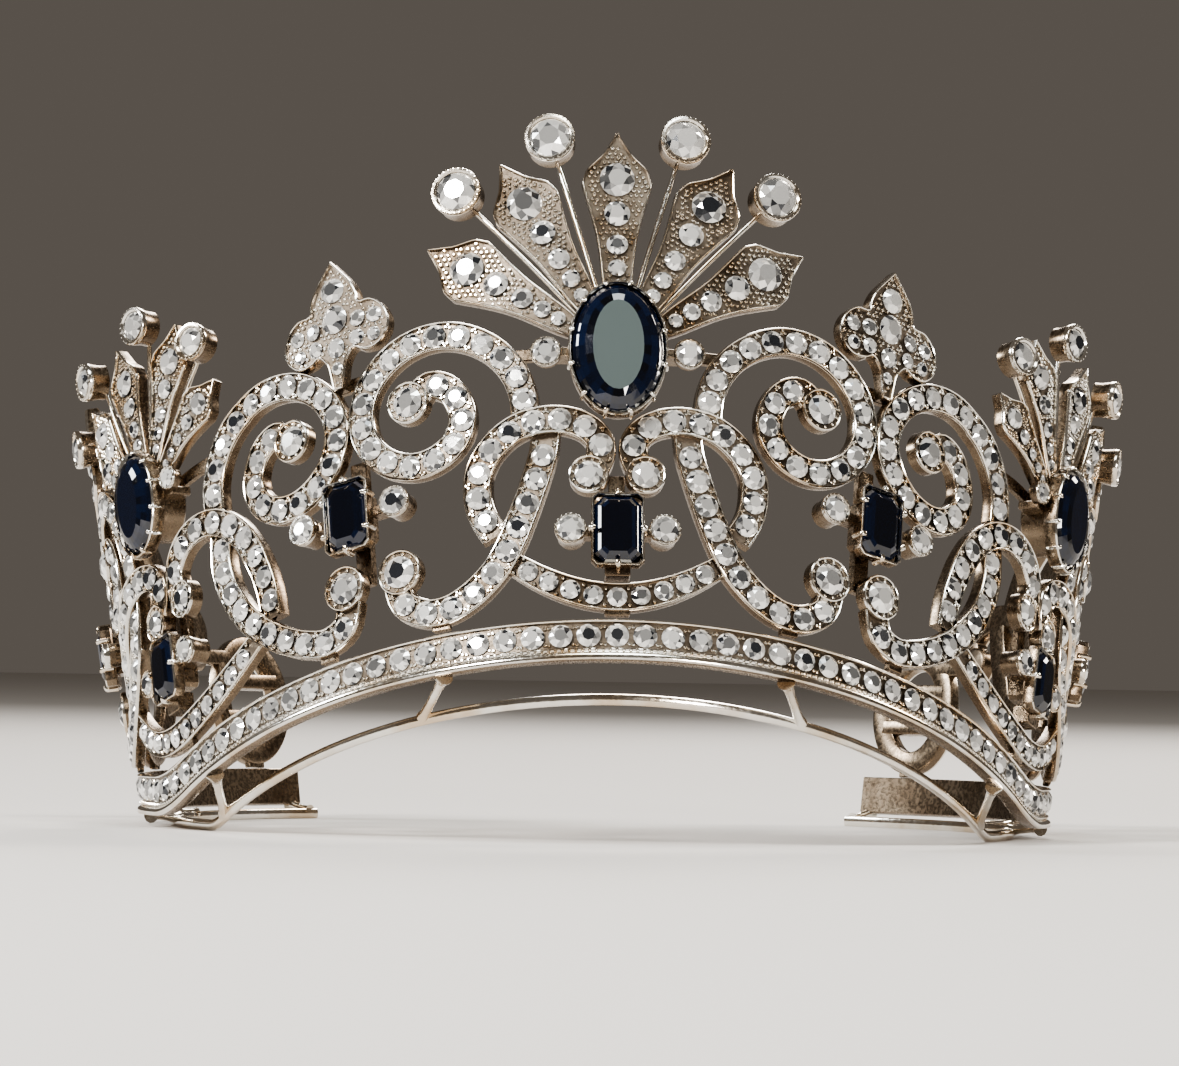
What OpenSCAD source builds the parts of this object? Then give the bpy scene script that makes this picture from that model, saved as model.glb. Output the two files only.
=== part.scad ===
// Openwork diadem: scrolls on an arched base band, standing on its inner head wire.
// Units are millimetres. Z is up, the front faces -Y, and the floor is Z = 0.
// A place on the front is given as (u, s): u runs along the base line from the middle,
// s runs up the leaning front. A third value, o, stands out from the front.
// The origin is on the floor under the middle of the object's box.

/* [Form] */
// Half of the base line's width, which is also the radius that u is wound on
base_r = 75; // [65:0.5:85]
// Front-to-back half axis of the base line, as a share of base_r
depth_ratio = 1.15; // [1:0.01:1.3]
// How far the front leans back and its base line arches (degrees)
tilt = 29; // [10:0.5:35]
// How far the front opens out towards its top (degrees)
flare = 7.9; // [0:0.1:12]
// Where the base stops arching and lies level (degrees from the middle)
rest_az = 64; // [50:1:85]
// Where the two ends stop (degrees from the middle)
end_az = 138; // [125:1:150]
// Where the lean begins to fade towards the ends (degrees from the middle)
fade_az = 45; // [30:1:70]

// How much lower the scroll work gets towards the ends
side_drop = 5; // [0:0.5:8]

/* [Scroll work] */
// Half of the distance after which the pattern repeats
half_pitch = 40.5; // [34:0.5:46]
// Axis of the lowest strand above the base line
gallery_low = 5.5; // [4:0.1:8]
// Height between the axes of the lowest and the highest strand
gallery_h = 46.9; // [38:0.1:52]
// Width of a strand
strand_w = 4.7; // [3.5:0.1:5.6]
// Depth of a strand
strand_t = 2.3; // [1.6:0.1:3]
// Gap left between pieces that are soldered in the real thing
seam = 0.12; // [0.1:0.02:0.2]

/* [Base] */
// Top edge of the base band above the base line
band_top = 2; // [1:0.1:3]
// Bottom edge of the base band
band_low = -4.9; // [-7:0.1:-3.5]
// Thickness of the base band
band_t = 1.9; // [1.2:0.1:3]
// Height of the base line above the floor where it lies level
rail_low = 7; // [6.4:0.1:12]
// Radius of the head wire
wire_r = 70; // [60:0.5:72]
// Height of the head wire
wire_h = 1.8; // [1.2:0.1:3]
// Thickness of the head wire
wire_w = 1.3; // [1:0.1:2]
// How much further round a post stands on the wire than on the band (degrees)
post_lean = 4.3; // [0:0.1:6]

/* [Crest] */
// Middle of the oval stone above the tops of the arches
oval_over = 10.9; // [8:0.1:13]
// Half width of the oval setting
oval_a = 8; // [5:0.1:9]
// Half height of the oval setting
oval_b = 11.6; // [8:0.1:13]
// Reach of the spears from the middle of the oval
spear_reach = 38.4; // [28:0.1:42]
// Greatest half width of a spear
spear_w = 5.7; // [4:0.1:7]
// Reach of the round collets from the middle of the oval
fan_reach = 38.2; // [28:0.1:42]
// Outer radius of the round collets
fan_r = 4.1; // [3:0.1:5]
// Size of the crests at the sides as a share of the middle one
side_share = 0.78; // [0.7:0.01:1]
// How far the crests at the sides turn to the back (degrees)
side_spin = 8; // [0:1:15]
// How far the crests at the sides sit below the middle one's height
side_low = 0.6; // [0:0.1:3]
// How far the crests at the sides stand behind the middle of their pattern
side_shift = 2.6; // [0:0.1:3]

/* [Oblong stones] */
// Width of an oblong setting
oblong_w = 8.4; // [6:0.1:10]
// Height of an oblong setting
oblong_h = 12.2; // [9:0.1:14]
// Middle of the oblong under a crest, above the lowest strand
oblong_low_over = 10.4; // [9:0.1:12]
// Middle of the oblong under a leaf, above the lowest strand
oblong_high_over = 19.1; // [17:0.1:21]
// Radius of the small round collets
flank_r = 2.55; // [2:0.05:3]
// Room between a small collet and the oval or the low oblong
flank_gap = 0.3; // [0.1:0.05:0.6]
// Room between a small collet and the high oblong
flank_room = 1.55; // [1:0.05:2]

/* [Leaf] */
// Middle of the leaf above the highest strand
leaf_over = 5.9; // [4:0.1:8]
// Half width of the leaf over its side lobes
leaf_w = 9.9; // [7:0.1:12]

/* [Hidden] */

metal = [0.80, 0.78, 0.75];
blue = [0.04, 0.07, 0.16];
clear = [0.93, 0.95, 0.97];
fit_gap = 0.1;
// Heights that the pieces share: tops of the arches, their junction, the bosses at the limbs,
// the coils' meeting, the tabs behind the leaves, and the height of the end loops
arch_top = gallery_low + 0.638 * gallery_h;
junction_s = gallery_low + 0.45 * gallery_h;
boss_s = gallery_low + 0.18 * gallery_h;
coil_low = gallery_low + 0.63 * gallery_h;
tab_s = gallery_low + 0.925 * gallery_h;
end_h = 0.47 * gallery_h;
oval_s = arch_top + oval_over;
oblong_low = gallery_low + oblong_low_over;
oblong_high = gallery_low + oblong_high_over;
leaf_s = gallery_low + gallery_h + leaf_over;
lobe_r = leaf_w * 0.45;
// Brings the middle of the object's box over the origin
middle_y = 9.5;

// The strands of half a pattern. across: share of the half pitch in percent, up: share of
// the gallery height in percent, rise: how far it stands out, as a share of the strand depth.
arch_rows = [
    // across, up, rise
    [ 4.2, 43.5, 0.15],
    [ 0.6, 50.0, 0.15],
    [ 0.9, 55.8, 0.15],
    [ 6.6, 61.0, 0.15],
    [16.2, 63.8, 0.15],
    [26.7, 63.8, 0.15],
    [36.6, 61.0, 0.15],
    [45.3, 54.8, 0.15],
    [50.5, 47.0, 0.10],
    [51.4, 38.9, 0.00],
    [49.5, 31.6, -0.10],
    [44.7, 24.4, -0.20]];
limb_rows = [
    // across, up, rise
    [22.8, 59.7, -0.20],
    [23.7, 52.8, -0.10],
    [26.2, 45.4, 0.00],
    [29.5, 37.3, 0.05],
    [33.3, 29.0, 0.10],
    [38.2, 20.0, 0.10],
    [44.8, 11.8, 0.05],
    [54.6,  4.6, 0.02],
    [65.5,  0.5, 0.00],
    [76.0,  0.6, 0.00],
    [85.5,  5.5, 0.00],
    [88.5, 14.5, 0.00]];
// The same two strands beside the side crests, where the limb lies nearer to the leaf's line
arch_side_rows = [
    // across, up, rise
    [ 4.2, 43.5, 0.15],
    [ 0.6, 50.0, 0.15],
    [ 0.9, 55.8, 0.15],
    [ 6.6, 61.0, 0.15],
    [16.2, 63.8, 0.15],
    [26.7, 63.4, 0.15],
    [36.8, 60.2, 0.15],
    [45.8, 54.0, 0.15],
    [52.4, 45.6, 0.10],
    [56.9, 36.5, 0.00],
    [59.2, 27.5, -0.10],
    [59.6, 18.5, -0.20]];
limb_side_rows = [
    // across, up, rise
    [33.5, 59.7, -0.20],
    [33.0, 52.5, -0.10],
    [33.2, 45.2, 0.00],
    [35.8, 37.0, 0.05],
    [41.0, 28.5, 0.10],
    [47.8, 20.8, 0.10],
    [56.4, 13.8, 0.05],
    [66.6,  7.6, 0.02],
    [77.6,  2.9, 0.00],
    [88.5,  0.6, 0.00],
    [98.2,  3.6, 0.00],
    [101.5, 12.0, 0.00]];
coil_rows = [
    // across, up, rise
    [30.9, 66.7, -0.12],
    [31.8, 74.7, -0.02],
    [35.4, 82.9, -0.02],
    [42.3, 90.6, -0.02],
    [52.0, 96.5, -0.02],
    [63.4, 99.8, -0.02],
    [75.4, 99.3, -0.02],
    [86.2, 95.4, -0.02],
    [95.2, 88.2, -0.02],
    [99.7, 79.3, -0.02],
    [99.4, 70.0, -0.02],
    [94.3, 61.8, -0.02],
    [85.6, 56.0, -0.02],
    [74.8, 54.1, -0.02],
    [64.6, 56.9, -0.02],
    [58.0, 63.4, -0.02],
    [57.0, 71.4, -0.02],
    [61.6, 79.3, -0.02],
    [70.0, 82.6, -0.02],
    [77.0, 78.2, -0.02]];

// The bosses that end the three strands. radius: share of the strand width,
// proud: how far they stand out over the strand depth.
boss_rows = [
    // across, up, radius, proud
    [ 5.2, 43.5, 0.68, 0.50],
    [86.5, 17.0, 0.80, 0.30],
    [79.0, 77.5, 0.76, 0.30]];
boss_side_rows = [
    // across, up, radius, proud
    [ 5.2, 43.5, 0.68, 0.50],
    [100.0, 17.0, 0.80, 0.30],
    [79.0, 77.5, 0.76, 0.30]];

// Outline of a spear. along: share of its reach, half: share of its greatest half width.
spear_rows = [
    // along, half
    [0.13, 0.13],
    [0.29, 0.38],
    [0.53, 0.58],
    [0.77, 1.00],
    [0.83, 0.90],
    [0.90, 0.44],
    [1.00, 0.05]];

function unit(v) = v / norm(v);
function mix(a, b, k) = a + (b - a) * k;
function ramp(x) = min(1, max(0, x));
function floor_soft(z, low, d) =
    z > low + d ? z : z < low - d ? low : low + pow(z - low + d, 2) / (4 * d);

// The surface that the front lies on.
function az(u) = u / base_r * 180 / PI;
function lean(t) = tilt * (1 - 0.9 * ramp((abs(t) - fade_az) / 60));
function base_z(t) =
    floor_soft(depth_ratio * base_r * sin(tilt) * (cos(t) - cos(rest_az)) + rail_low + 2.7, rail_low, 3.5);
function swell(x) = let (k = ramp(x)) k * k * (3 - 2 * k);
function on_front(u, s) =
    let (t = az(u), out = s * sin(flare), up = s * cos(flare), r = base_r + out, a = lean(t),
         drop = side_drop * swell((abs(t) - 56) / 32) * ramp(s / gallery_h))
    [r * sin(t),
     middle_y - depth_ratio * cos(tilt) * r * cos(t) + up * sin(a),
     base_z(t) + depth_ratio * sin(tilt) * out * cos(t) + up * cos(a) - drop];
function along_u(u, s) = on_front(u + 0.5, s) - on_front(u - 0.5, s);
function along_s(u, s) = on_front(u, s + 0.5) - on_front(u, s - 0.5);
function normal(u, s) = unit(cross(along_u(u, s), along_s(u, s)));
function place(u, s, o) = on_front(u, s) + o * normal(u, s);
// u of a point that lies x to the side of u0 at height s
function beside(u0, s, x) = u0 + x / norm(along_u(u0, s));

// A smooth line through rows of numbers, cut into n steps.
function knot(rows, i) = rows[max(0, min(len(rows) - 1, i))];
function smooth(a, b, c, d, k) =
    0.5 * ((2 * b) + (c - a) * k + (2 * a - 5 * b + 4 * c - d) * k * k + (3 * b - a - 3 * c + d) * k * k * k);
function curve_at(rows, x) =
    let (i = min(floor(x), len(rows) - 2))
    smooth(knot(rows, i - 1), knot(rows, i), knot(rows, i + 1), knot(rows, i + 2), x - i);
function curve(rows, n) = [for (i = [0:n]) curve_at(rows, i / n * (len(rows) - 1))];

// A place in half pattern number k on one side: across and up are the shares in the tables.
function in_half(k, across, up) =
    let (s = gallery_low + up / 100 * gallery_h,
         flip = k % 2 == 1,
         near = (k + (flip ? 1 - across / 100 : across / 100)) * half_pitch,
         m = (strand_w / 2 + seam / 2) / norm(along_u(near, s)),
         x = m + across / 100 * (half_pitch - 2 * m))
    [k * half_pitch + (flip ? half_pitch - x : x), s];
function half_path(rows, n, k, side) =
    [for (row = curve(rows, n))
        let (p = in_half(k, row[0], row[1]))
        [side * p[0], p[1], row[2] * strand_t, 1]];

module loft(rings, closed = false) {
    n = len(rings);
    m = len(rings[0]);
    last = closed ? n - 1 : n - 2;
    sides = [for (i = [0:last]) for (j = [0:m - 1])
        let (a = i * m + j, b = i * m + (j + 1) % m, c = ((i + 1) % n) * m + j, d = ((i + 1) % n) * m + (j + 1) % m)
        each [[a, c, d], [a, d, b]]];
    first_cap = [for (j = [1:m - 2]) [0, j, j + 1]];
    last_cap = [for (j = [1:m - 2]) [(n - 1) * m, (n - 1) * m + j + 1, (n - 1) * m + j]];
    polyhedron([for (ring = rings) each ring], concat(sides, closed ? [] : concat(first_cap, last_cap)));
}

// A flat strand along path rows of [u, s, rise, width share].
function strand_rings(path, w, back, front, closed = false) =
    let (n = len(path), p = [for (r = path) place(r[0], r[1], r[2])])
    [for (i = [0:n - 1])
        let (before = closed ? p[(i + n - 1) % n] : p[max(0, i - 1)],
             after = closed ? p[(i + 1) % n] : p[min(n - 1, i + 1)],
             nrm = normal(path[i][0], path[i][1]),
             side = unit(cross(nrm, after - before)) * w / 2 * path[i][3])
        [p[i] + back * nrm - side, p[i] + back * nrm + side,
         p[i] + front * nrm + side, p[i] + front * nrm - side]];
module strand(path, w, back, front, closed = false) {
    loft(strand_rings(path, w, back, front, closed), closed);
}

// Puts children on the front at (u, s), with Y up the front and Z out of it.
module on(u, s, o = 0) {
    z = normal(u, s);
    x = unit(cross(along_s(u, s), z));
    y = cross(z, x);
    p = place(u, s, o);
    multmatrix([[x[0], y[0], z[0], p[0]], [x[1], y[1], z[1], p[1]], [x[2], y[2], z[2], p[2]], [0, 0, 0, 1]])
        children();
}

// A round boss that ends a strand.
module boss(u, s, r, back, front) {
    on(u, s, back)
        hull() cylinder(h = front - back, r = r, $fn = 10);
}
// A bar between two places.
module bar(a, b, w, back, front) {
    strand([[a[0], a[1], 0, 1], [b[0], b[1], 0, 1]], w, back, front);
}
// A short post under a strand, standing on the band.
module foot(u, s, w) {
    hull() {
        on(u, band_top + 0.85, 0.3) translate([-w / 2, -0.3, 0]) cube([w, 0.6, 1]);
        on(u, s, 0.3) translate([-w / 2, -0.3, 0]) cube([w, 0.6, 1]);
    }
}

// A cut stone with a table, a crown of 2n facets, and a pavilion of n facets or a flat back.
module cut_stone(a, b, crown, pavilion, n = 8, table = 0.56) {
    girdle = [for (i = [0:n - 1]) [a * cos((i + 0.5) * 360 / n), b * sin((i + 0.5) * 360 / n), 0]];
    top = [for (i = [0:n - 1]) [a * table * cos(i * 360 / n), b * table * sin(i * 360 / n), crown]];
    low = [for (i = [0:n - 1]) [a * 0.08 * cos((i + 0.5) * 360 / n), b * 0.08 * sin((i + 0.5) * 360 / n), -pavilion]];
    deep = pavilion > 0;
    tri = concat(
        [for (i = [0:n - 1]) [n + i, i, n + (i + 1) % n]],
        [for (i = [0:n - 1]) [i, (i + 1) % n, n + (i + 1) % n]],
        [for (i = [1:n - 2]) [n, n + i, n + i + 1]],
        deep
            ? concat(
                [for (i = [0:n - 1]) [(i + 1) % n, i, 2 * n + i]],
                [for (i = [0:n - 1]) [(i + 1) % n, 2 * n + i, 2 * n + (i + 1) % n]],
                [for (i = [1:n - 2]) [2 * n, 2 * n + i + 1, 2 * n + i]])
            : [for (i = [1:n - 2]) [0, i + 1, i]]);
    polyhedron(concat(girdle, top, deep ? low : []), [for (f = tri) [f[0], f[2], f[1]]]);
}
// An oblong step-cut stone with cut corners: rows of height, width share, height share and corner.
module step_stone(w, h, crown, pavilion) {
    rows = [
        // up, width, height, corner
        [-pavilion, 0.28, 0.48, 0.4],
        [0, 1, 1, 1.3],
        [crown * 0.6, 0.84, 0.87, 1],
        [crown, 0.62, 0.68, 0.7]];
    loft([for (r = rows) let (x = w / 2 * r[1], y = h / 2 * r[2], c = r[3], z = r[0])
        [[c - x, -y, z], [x - c, -y, z], [x, c - y, z], [x, y - c, z],
         [x - c, y, z], [c - x, y, z], [-x, y - c, z], [-x, c - y, z]]]);
}

module base_band() {
    color(metal)
    loft([for (i = [0:32])
        let (u = mix(-1, 1, i / 32) * end_az * PI / 180 * base_r)
        [place(u, band_low, -0.3), place(u, band_top, -0.3), place(u, band_top, band_t - 0.3),
         place(u, band_low + 1.5, band_t - 0.3), place(u, band_low + 1.2, band_t + 0.4),
         place(u, band_low, band_t + 0.4)]]);
}

function wire_z(t) =
    floor_soft(depth_ratio * wire_r * sin(tilt) * (cos(t) - cos(rest_az)), 0, 1);
function on_wire(t, r, up) = [r * sin(t), middle_y - depth_ratio * cos(tilt) * r * cos(t), wire_z(t) + up];
module head_wire() {
    color(metal)
    union() {
        loft([for (i = [0:34])
            let (t = mix(-1, 1, i / 34) * end_az)
            [on_wire(t, wire_r - wire_w / 2, 0), on_wire(t, wire_r - wire_w / 2, wire_h),
             on_wire(t, wire_r + wire_w / 2, wire_h), on_wire(t, wire_r + wire_w / 2, 0)]]);
        for (side = [-1, 1]) for (share = [0.68, 1.85, 2.6, 3.3])
            post(side * share * half_pitch, side * post_lean);
        for (side = [-1, 1])
            post(side * (end_az - 1.2) * PI / 180 * base_r, 0);
    }
}
module post(u, turn) {
    t = az(u) + turn;
    hull() {
        translate(on_wire(t, wire_r, 0.3)) rotate(t) translate([-0.9, -0.4, 0]) cube([1.8, 0.8, 1.2]);
        on(u, band_low - 0.3, 0.5) translate([-0.7, -1, 0]) cube([1.4, 1, 1]);
    }
}

// The halves on both sides of a side crest have arches and limbs of their own.
function beside_crest(k) = k == 1 || k == 2;
module half_scrolls(k, side) {
    strand(half_path(beside_crest(k) ? arch_side_rows : arch_rows, 12, k, side), strand_w, 0, strand_t);
    strand(half_path(beside_crest(k) ? limb_side_rows : limb_rows, 11, k, side), strand_w, 0, strand_t);
    strand(half_path(coil_rows, 18, k, side), strand_w, 0, strand_t);
    for (row = beside_crest(k) ? boss_side_rows : boss_rows) {
        p = in_half(k, row[0], row[1]);
        boss(side * p[0], p[1], strand_w * row[2], 0.15, strand_t + row[3]);
    }
    low = in_half(k, beside_crest(k) ? 88 : 70, 0);
    foot(side * low[0], low[1], 3);
}
module low_arc(k, side) {
    reach = half_pitch * (beside_crest(k) ? 0.5 : 0.41);
    bend = gallery_h * (beside_crest(k) ? 0.13 : 0.154);
    u0 = side * k * half_pitch;
    strand([for (i = [-3:3])
        let (x = i / 3) [u0 + reach * x, gallery_low + bend * x * x, 0, 1 - 0.25 * x * x]],
        strand_w, 0.1, strand_t - 0.3);
    foot(u0, gallery_low, 4);
}
// A low pierced loop that closes each end.
module end_loop(side) {
    u0 = side * 4 * half_pitch;
    w = end_az * PI / 180 * base_r - 4 * half_pitch;
    mid = u0 + side * w * 0.5;
    half = w * 0.5 - 2.1;
    strand([for (i = [0:13])
        let (a = i * 360 / 14)
        [mid + side * half * cos(a), gallery_low + end_h * (0.5 + 0.5 * sin(a)) - 0.2, 0, 0.85]],
        strand_w, 0.05, strand_t - 0.1, true);
    for (share = [0.33, 0.67])
        hull() {
            on(mid - side * half * 0.9, gallery_low + end_h * share, 0.4) cylinder(h = 1.4, r = 1.1, $fn = 8);
            on(mid + side * half * 0.9, gallery_low + end_h * share, 0.4) cylinder(h = 1.4, r = 1.1, $fn = 8);
        }
    foot(mid, gallery_low, 4);
    hull() {
        on(u0 - side * 2.6, gallery_low + gallery_h * 0.42, 0.3) cylinder(h = 1.4, r = 1.2, $fn = 8);
        on(u0 + side * w * 0.27, gallery_low + gallery_h * 0.42, 0.3) cylinder(h = 1.4, r = 1.2, $fn = 8);
    }
}
module gallery(k, side) {
    half_scrolls(k - 1, side);
    half_scrolls(k, side);
    low_arc(k, side);
}
module gallery_centre() {
    color(metal)
    union() {
        half_scrolls(0, -1);
        half_scrolls(0, 1);
        low_arc(0, 1);
    }
}
module gallery_left() {
    color(metal) union() gallery(2, -1);
}
module gallery_right() {
    color(metal) union() gallery(2, 1);
}
module gallery_end_left() {
    color(metal) union() {
        half_scrolls(3, -1);
        end_loop(-1);
    }
}
module gallery_end_right() {
    color(metal) union() {
        half_scrolls(3, 1);
        end_loop(1);
    }
}

// A three-lobed leaf whose stem drops between two coils, with a tab behind them.
module leaf(u0, k) {
    x = (leaf_w - lobe_r) * k;
    color(metal)
    union() {
        hull() {
            on(u0, leaf_s + leaf_w * 0.565, 0.3) scale([0.86, 1, 1]) cylinder(h = 2.6, r = lobe_r * 1.19 * k, $fn = 8);
            on(u0, leaf_s + leaf_w * 1.15, 0.3) cylinder(h = 2, r = 0.5, $fn = 6);
        }
        for (side = [-1, 1])
            hull() on(beside(u0, leaf_s - 1, side * x), leaf_s - 1, 0.2) cylinder(h = 2.4, r = lobe_r * k, $fn = 8);
        hull() on(u0, leaf_s - 1, 0.1) cylinder(h = 3, r = lobe_r * 0.96 * k, $fn = 8);
        hull() {
            on(u0, leaf_s - 4, 0.1) cylinder(h = 2.2, r = 1.6, $fn = 6);
            on(u0, tab_s - 1.2, 0.1) cylinder(h = 2.2, r = 0.9, $fn = 6);
        }
        hull() on(u0, tab_s, -1.6) cylinder(h = 2.8, r = 0.8, $fn = 6);
        for (side = [-1, 1])
            hull() {
                on(u0, tab_s, -1.6) cylinder(h = 1.2, r = 1.1, $fn = 6);
                on(beside(u0, tab_s, side * half_pitch * 0.111), tab_s, -1.6) cylinder(h = 1.2, r = 1.1, $fn = 6);
            }
    }
}
module leaf_left() { leaf(-half_pitch - 1, 1); }
module leaf_right() { leaf(half_pitch + 1, 1); }
module leaf_rear_left() { leaf(-3 * half_pitch, 0.86); }
module leaf_rear_right() { leaf(3 * half_pitch, 0.86); }

// The crest: an oval setting with two small collets, five spears and four round collets.
// Its rays as degrees from upright, with their reach and width as shares of the named sizes.
fan_rays = [
    // turn, reach
    [-40.3, 1],
    [-15.7, 1],
    [ 15.7, 1],
    [ 40.3, 1]];
spear_rays = [
    // turn, reach, width
    [-55.0, 0.95, 1],
    [-28.5, 1.00, 1],
    [  0.0, 1.00, 1],
    [ 28.5, 1.00, 1],
    [ 55.0, 0.95, 1]];
// The rays of a side crest, from its front to its back
fan_side_rays = [
    // turn, reach
    [-47, 0.86],
    [-15, 0.97],
    [ 20, 1.01],
    [ 48, 1.00]];
spear_side_rays = [
    // turn, reach, width
    [-63, 0.76, 0.9],
    [-31, 0.93, 1.0],
    [  2, 1.00, 1.0],
    [ 34, 1.00, 1.0],
    [ 46, 0.80, 0.8]];
function turned(rays, side) = [for (ray = rays) [side * (ray[0] + side_spin), ray[1], ray[2]]];
function fans(side) = side == 0 ? fan_rays : turned(fan_side_rays, side);
function spears(side) = side == 0 ? spear_rays : turned(spear_side_rays, side);
function polar(u0, s0, r, a) = let (s = s0 + r * cos(a)) [beside(u0, s, r * sin(a)), s];
// Where each crest is: middle, height and size
function crest_spot(side) = side == 0
    ? [0, oval_s, 1]
    : [side * (2 * half_pitch + side_shift), oval_s - side_low, side_share];
module crest(side) {
    spot = crest_spot(side);
    u0 = spot[0];
    s0 = spot[1];
    k = spot[2];
    n = 8;
    color(metal)
    union() {
        for (ray = spears(side))
            strand([for (row = spear_rows)
                let (p = polar(u0, s0, row[0] * spear_reach * k * ray[1], ray[0]))
                [p[0], p[1], 0.3, row[1] * ray[2]]],
                spear_w * 2 * k, 0, strand_t);
        for (ray = fans(side)) {
            near = polar(u0, s0, oval_b * 0.6 * k, ray[0]);
            p = polar(u0, s0, fan_reach * k * ray[1], ray[0]);
            bar(near, p, 0.8, 0.9, 2);
            on(p[0], p[1], 1.4)
                rotate(22.5) difference() {
                    cylinder(h = 3.9, r = fan_r * k, $fn = n);
                    translate([0, 0, -1]) cylinder(h = 6, r = fan_r * k - 0.6, $fn = n);
                }
        }
        on(u0, s0, 0)
            difference() {
                union() {
                    translate([0, 0, strand_t + 0.6]) oval_block(oval_a * k, oval_b * k, 2.6, 16);
                    translate([0, 0, -1.7]) oval_block((oval_a - 1.2) * k, (oval_b - 3.8) * k, strand_t + 2.6, 8);
                }
                translate([0, 0, -2]) oval_block((oval_a - 3.4) * k, (oval_b - 6.7) * k, strand_t + 4, 8);
                translate([0, 0, strand_t + 1.2]) oval_block(oval_a * k - 0.7, oval_b * k - 0.7, 4, 16);
            }
        on(u0, s0, 0)
            for (a = [30:60:360])
                translate([(oval_a * k - 0.15) * cos(a), (oval_b * k - 0.15) * sin(a), 0])
                    rotate(a) prong();
        for (c = [-1, 1]) {
            far = beside(u0, s0, c * (oval_a + flank_r + flank_gap) * k);
            bar([u0 + c * 4 * k, s0 + 1.6 * k], [(2 * side + c * (side == 0 ? 0.383 : 0.33)) * half_pitch, s0 + 1.6 * k], 2, -1.7, -0.5);
            bar([u0 + c * 5.6 * k, s0], [far, s0], 1.4, -0.7, 3);
            on(far, s0, strand_t + 0.3) collet(flank_r * k, 2);
        }
    }
}
module oval_block(a, b, h, n) {
    linear_extrude(h) polygon([for (i = [0:n - 1]) [a * cos((i + 0.5) * 360 / n), b * sin((i + 0.5) * 360 / n)]]);
}
module prong() {
    hull() {
        translate([-0.4, -0.5, strand_t + 0.9]) cube([0.9, 1, 0.1]);
        translate([-0.5, -0.35, strand_t + 3.4]) cube([0.8, 0.7, 0.3]);
    }
}
module collet(r, h) {
    cylinder(h = h, r = r, $fn = 10);
}
module crest_centre() { crest(0); }
module crest_left() { crest(-1); }
module crest_right() { crest(1); }

// An oblong setting with four claws, two small collets and what holds it behind.
oblong_share = [1, 1, 0.9, 0.85];
function oblong_at(i) = i % 2 == 0 ? oblong_low : oblong_high;
function flank_x(i) = (oblong_w / 2 + flank_r + (i % 2 == 0 ? flank_gap : flank_room)) * oblong_share[i];
module oblong_setting(i, side) {
    u0 = side * i * half_pitch;
    s0 = oblong_at(i);
    k = oblong_share[i];
    w = oblong_w * k;
    h = oblong_h * k;
    base = strand_t + 0.3;
    color(metal)
    union() {
        on(u0, s0, 0)
            difference() {
                union() {
                    translate([-w / 2, -h / 2, base]) cube([w, h, 2.2]);
                    translate([-w / 2 + 1.2, -h / 2 + 2, -0.6]) cube([w - 2.4, h - 4, base + 0.9]);
                }
                translate([-w / 2 + 0.45, -h / 2 + 0.45, base + 0.5]) cube([w - 0.9, h - 0.9, 3]);
                translate([-w / 2 + 2, -h / 2 + 2.8, -1]) cube([w - 4, h - 5.6, 6]);
            }
        on(u0, s0, base + 1)
            for (c = [[0, 1], [0, -1], [1, 0], [-1, 0]])
                translate([c[0] * (w / 2 + 0.1) - 0.5, c[1] * (h / 2 + 0.1) - 0.5, 0]) cube([1, 1, 2]);
        for (c = [-1, 1]) {
            far = beside(u0, s0, c * flank_x(i));
            on(u0, s0, 0)
                translate([c < 0 ? -flank_x(i) : 0, -0.8, 0.5]) cube([flank_x(i), 1.6, 2.6]);
            on(far, s0 + 0.3, 0.3) collet(flank_r * k, 4.2);
        }
        if (i % 2 == 0) {
            low = gallery_low + strand_w / 2 + 0.6 - s0;
            on(u0, s0, 0.4) translate([-2, low, 0]) cube([4, 1.1 - h / 2 - low, 3]);
            on(u0, s0, -1.5) translate([-1.3, h / 2 - 3.4, 0]) cube([2.6, junction_s - s0 - h / 2 + 3.4, 1.3]);
        } else {
            on(u0, s0, -1.6) translate([-1.5, boss_s - s0, 0]) cube([3, coil_low - boss_s, 1.4]);
        }
    }
}
module oblong_setting_centre() { oblong_setting(0, 1); }
module oblong_setting_inner_left() { oblong_setting(1, -1); }
module oblong_setting_inner_right() { oblong_setting(1, 1); }
module oblong_setting_side_left() { oblong_setting(2, -1); }
module oblong_setting_side_right() { oblong_setting(2, 1); }
module oblong_setting_rear_left() { oblong_setting(3, -1); }
module oblong_setting_rear_right() { oblong_setting(3, 1); }

module oval_sapphire(side) {
    spot = crest_spot(side);
    color(blue)
    on(spot[0], spot[1], strand_t + 1.2 + fit_gap + 1.2)
        cut_stone(oval_a * spot[2] - 0.7 - fit_gap, oval_b * spot[2] - 0.7 - fit_gap, 2, 1.1, 16, 0.62);
}
module oval_sapphire_centre() { oval_sapphire(0); }
module oval_sapphire_left() { oval_sapphire(-1); }
module oval_sapphire_right() { oval_sapphire(1); }

module oblong_sapphire(i, side) {
    k = oblong_share[i];
    color(blue)
    on(side * i * half_pitch, oblong_at(i), strand_t + 0.8 + fit_gap + 0.8)
        step_stone(oblong_w * k - 0.9 - 2 * fit_gap, oblong_h * k - 0.9 - 2 * fit_gap, 1.5, 0.8);
}
module oblong_sapphire_centre() { oblong_sapphire(0, 1); }
module oblong_sapphire_inner_left() { oblong_sapphire(1, -1); }
module oblong_sapphire_inner_right() { oblong_sapphire(1, 1); }
module oblong_sapphire_side_left() { oblong_sapphire(2, -1); }
module oblong_sapphire_side_right() { oblong_sapphire(2, 1); }
module oblong_sapphire_rear_left() { oblong_sapphire(3, -1); }
module oblong_sapphire_rear_right() { oblong_sapphire(3, 1); }

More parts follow.
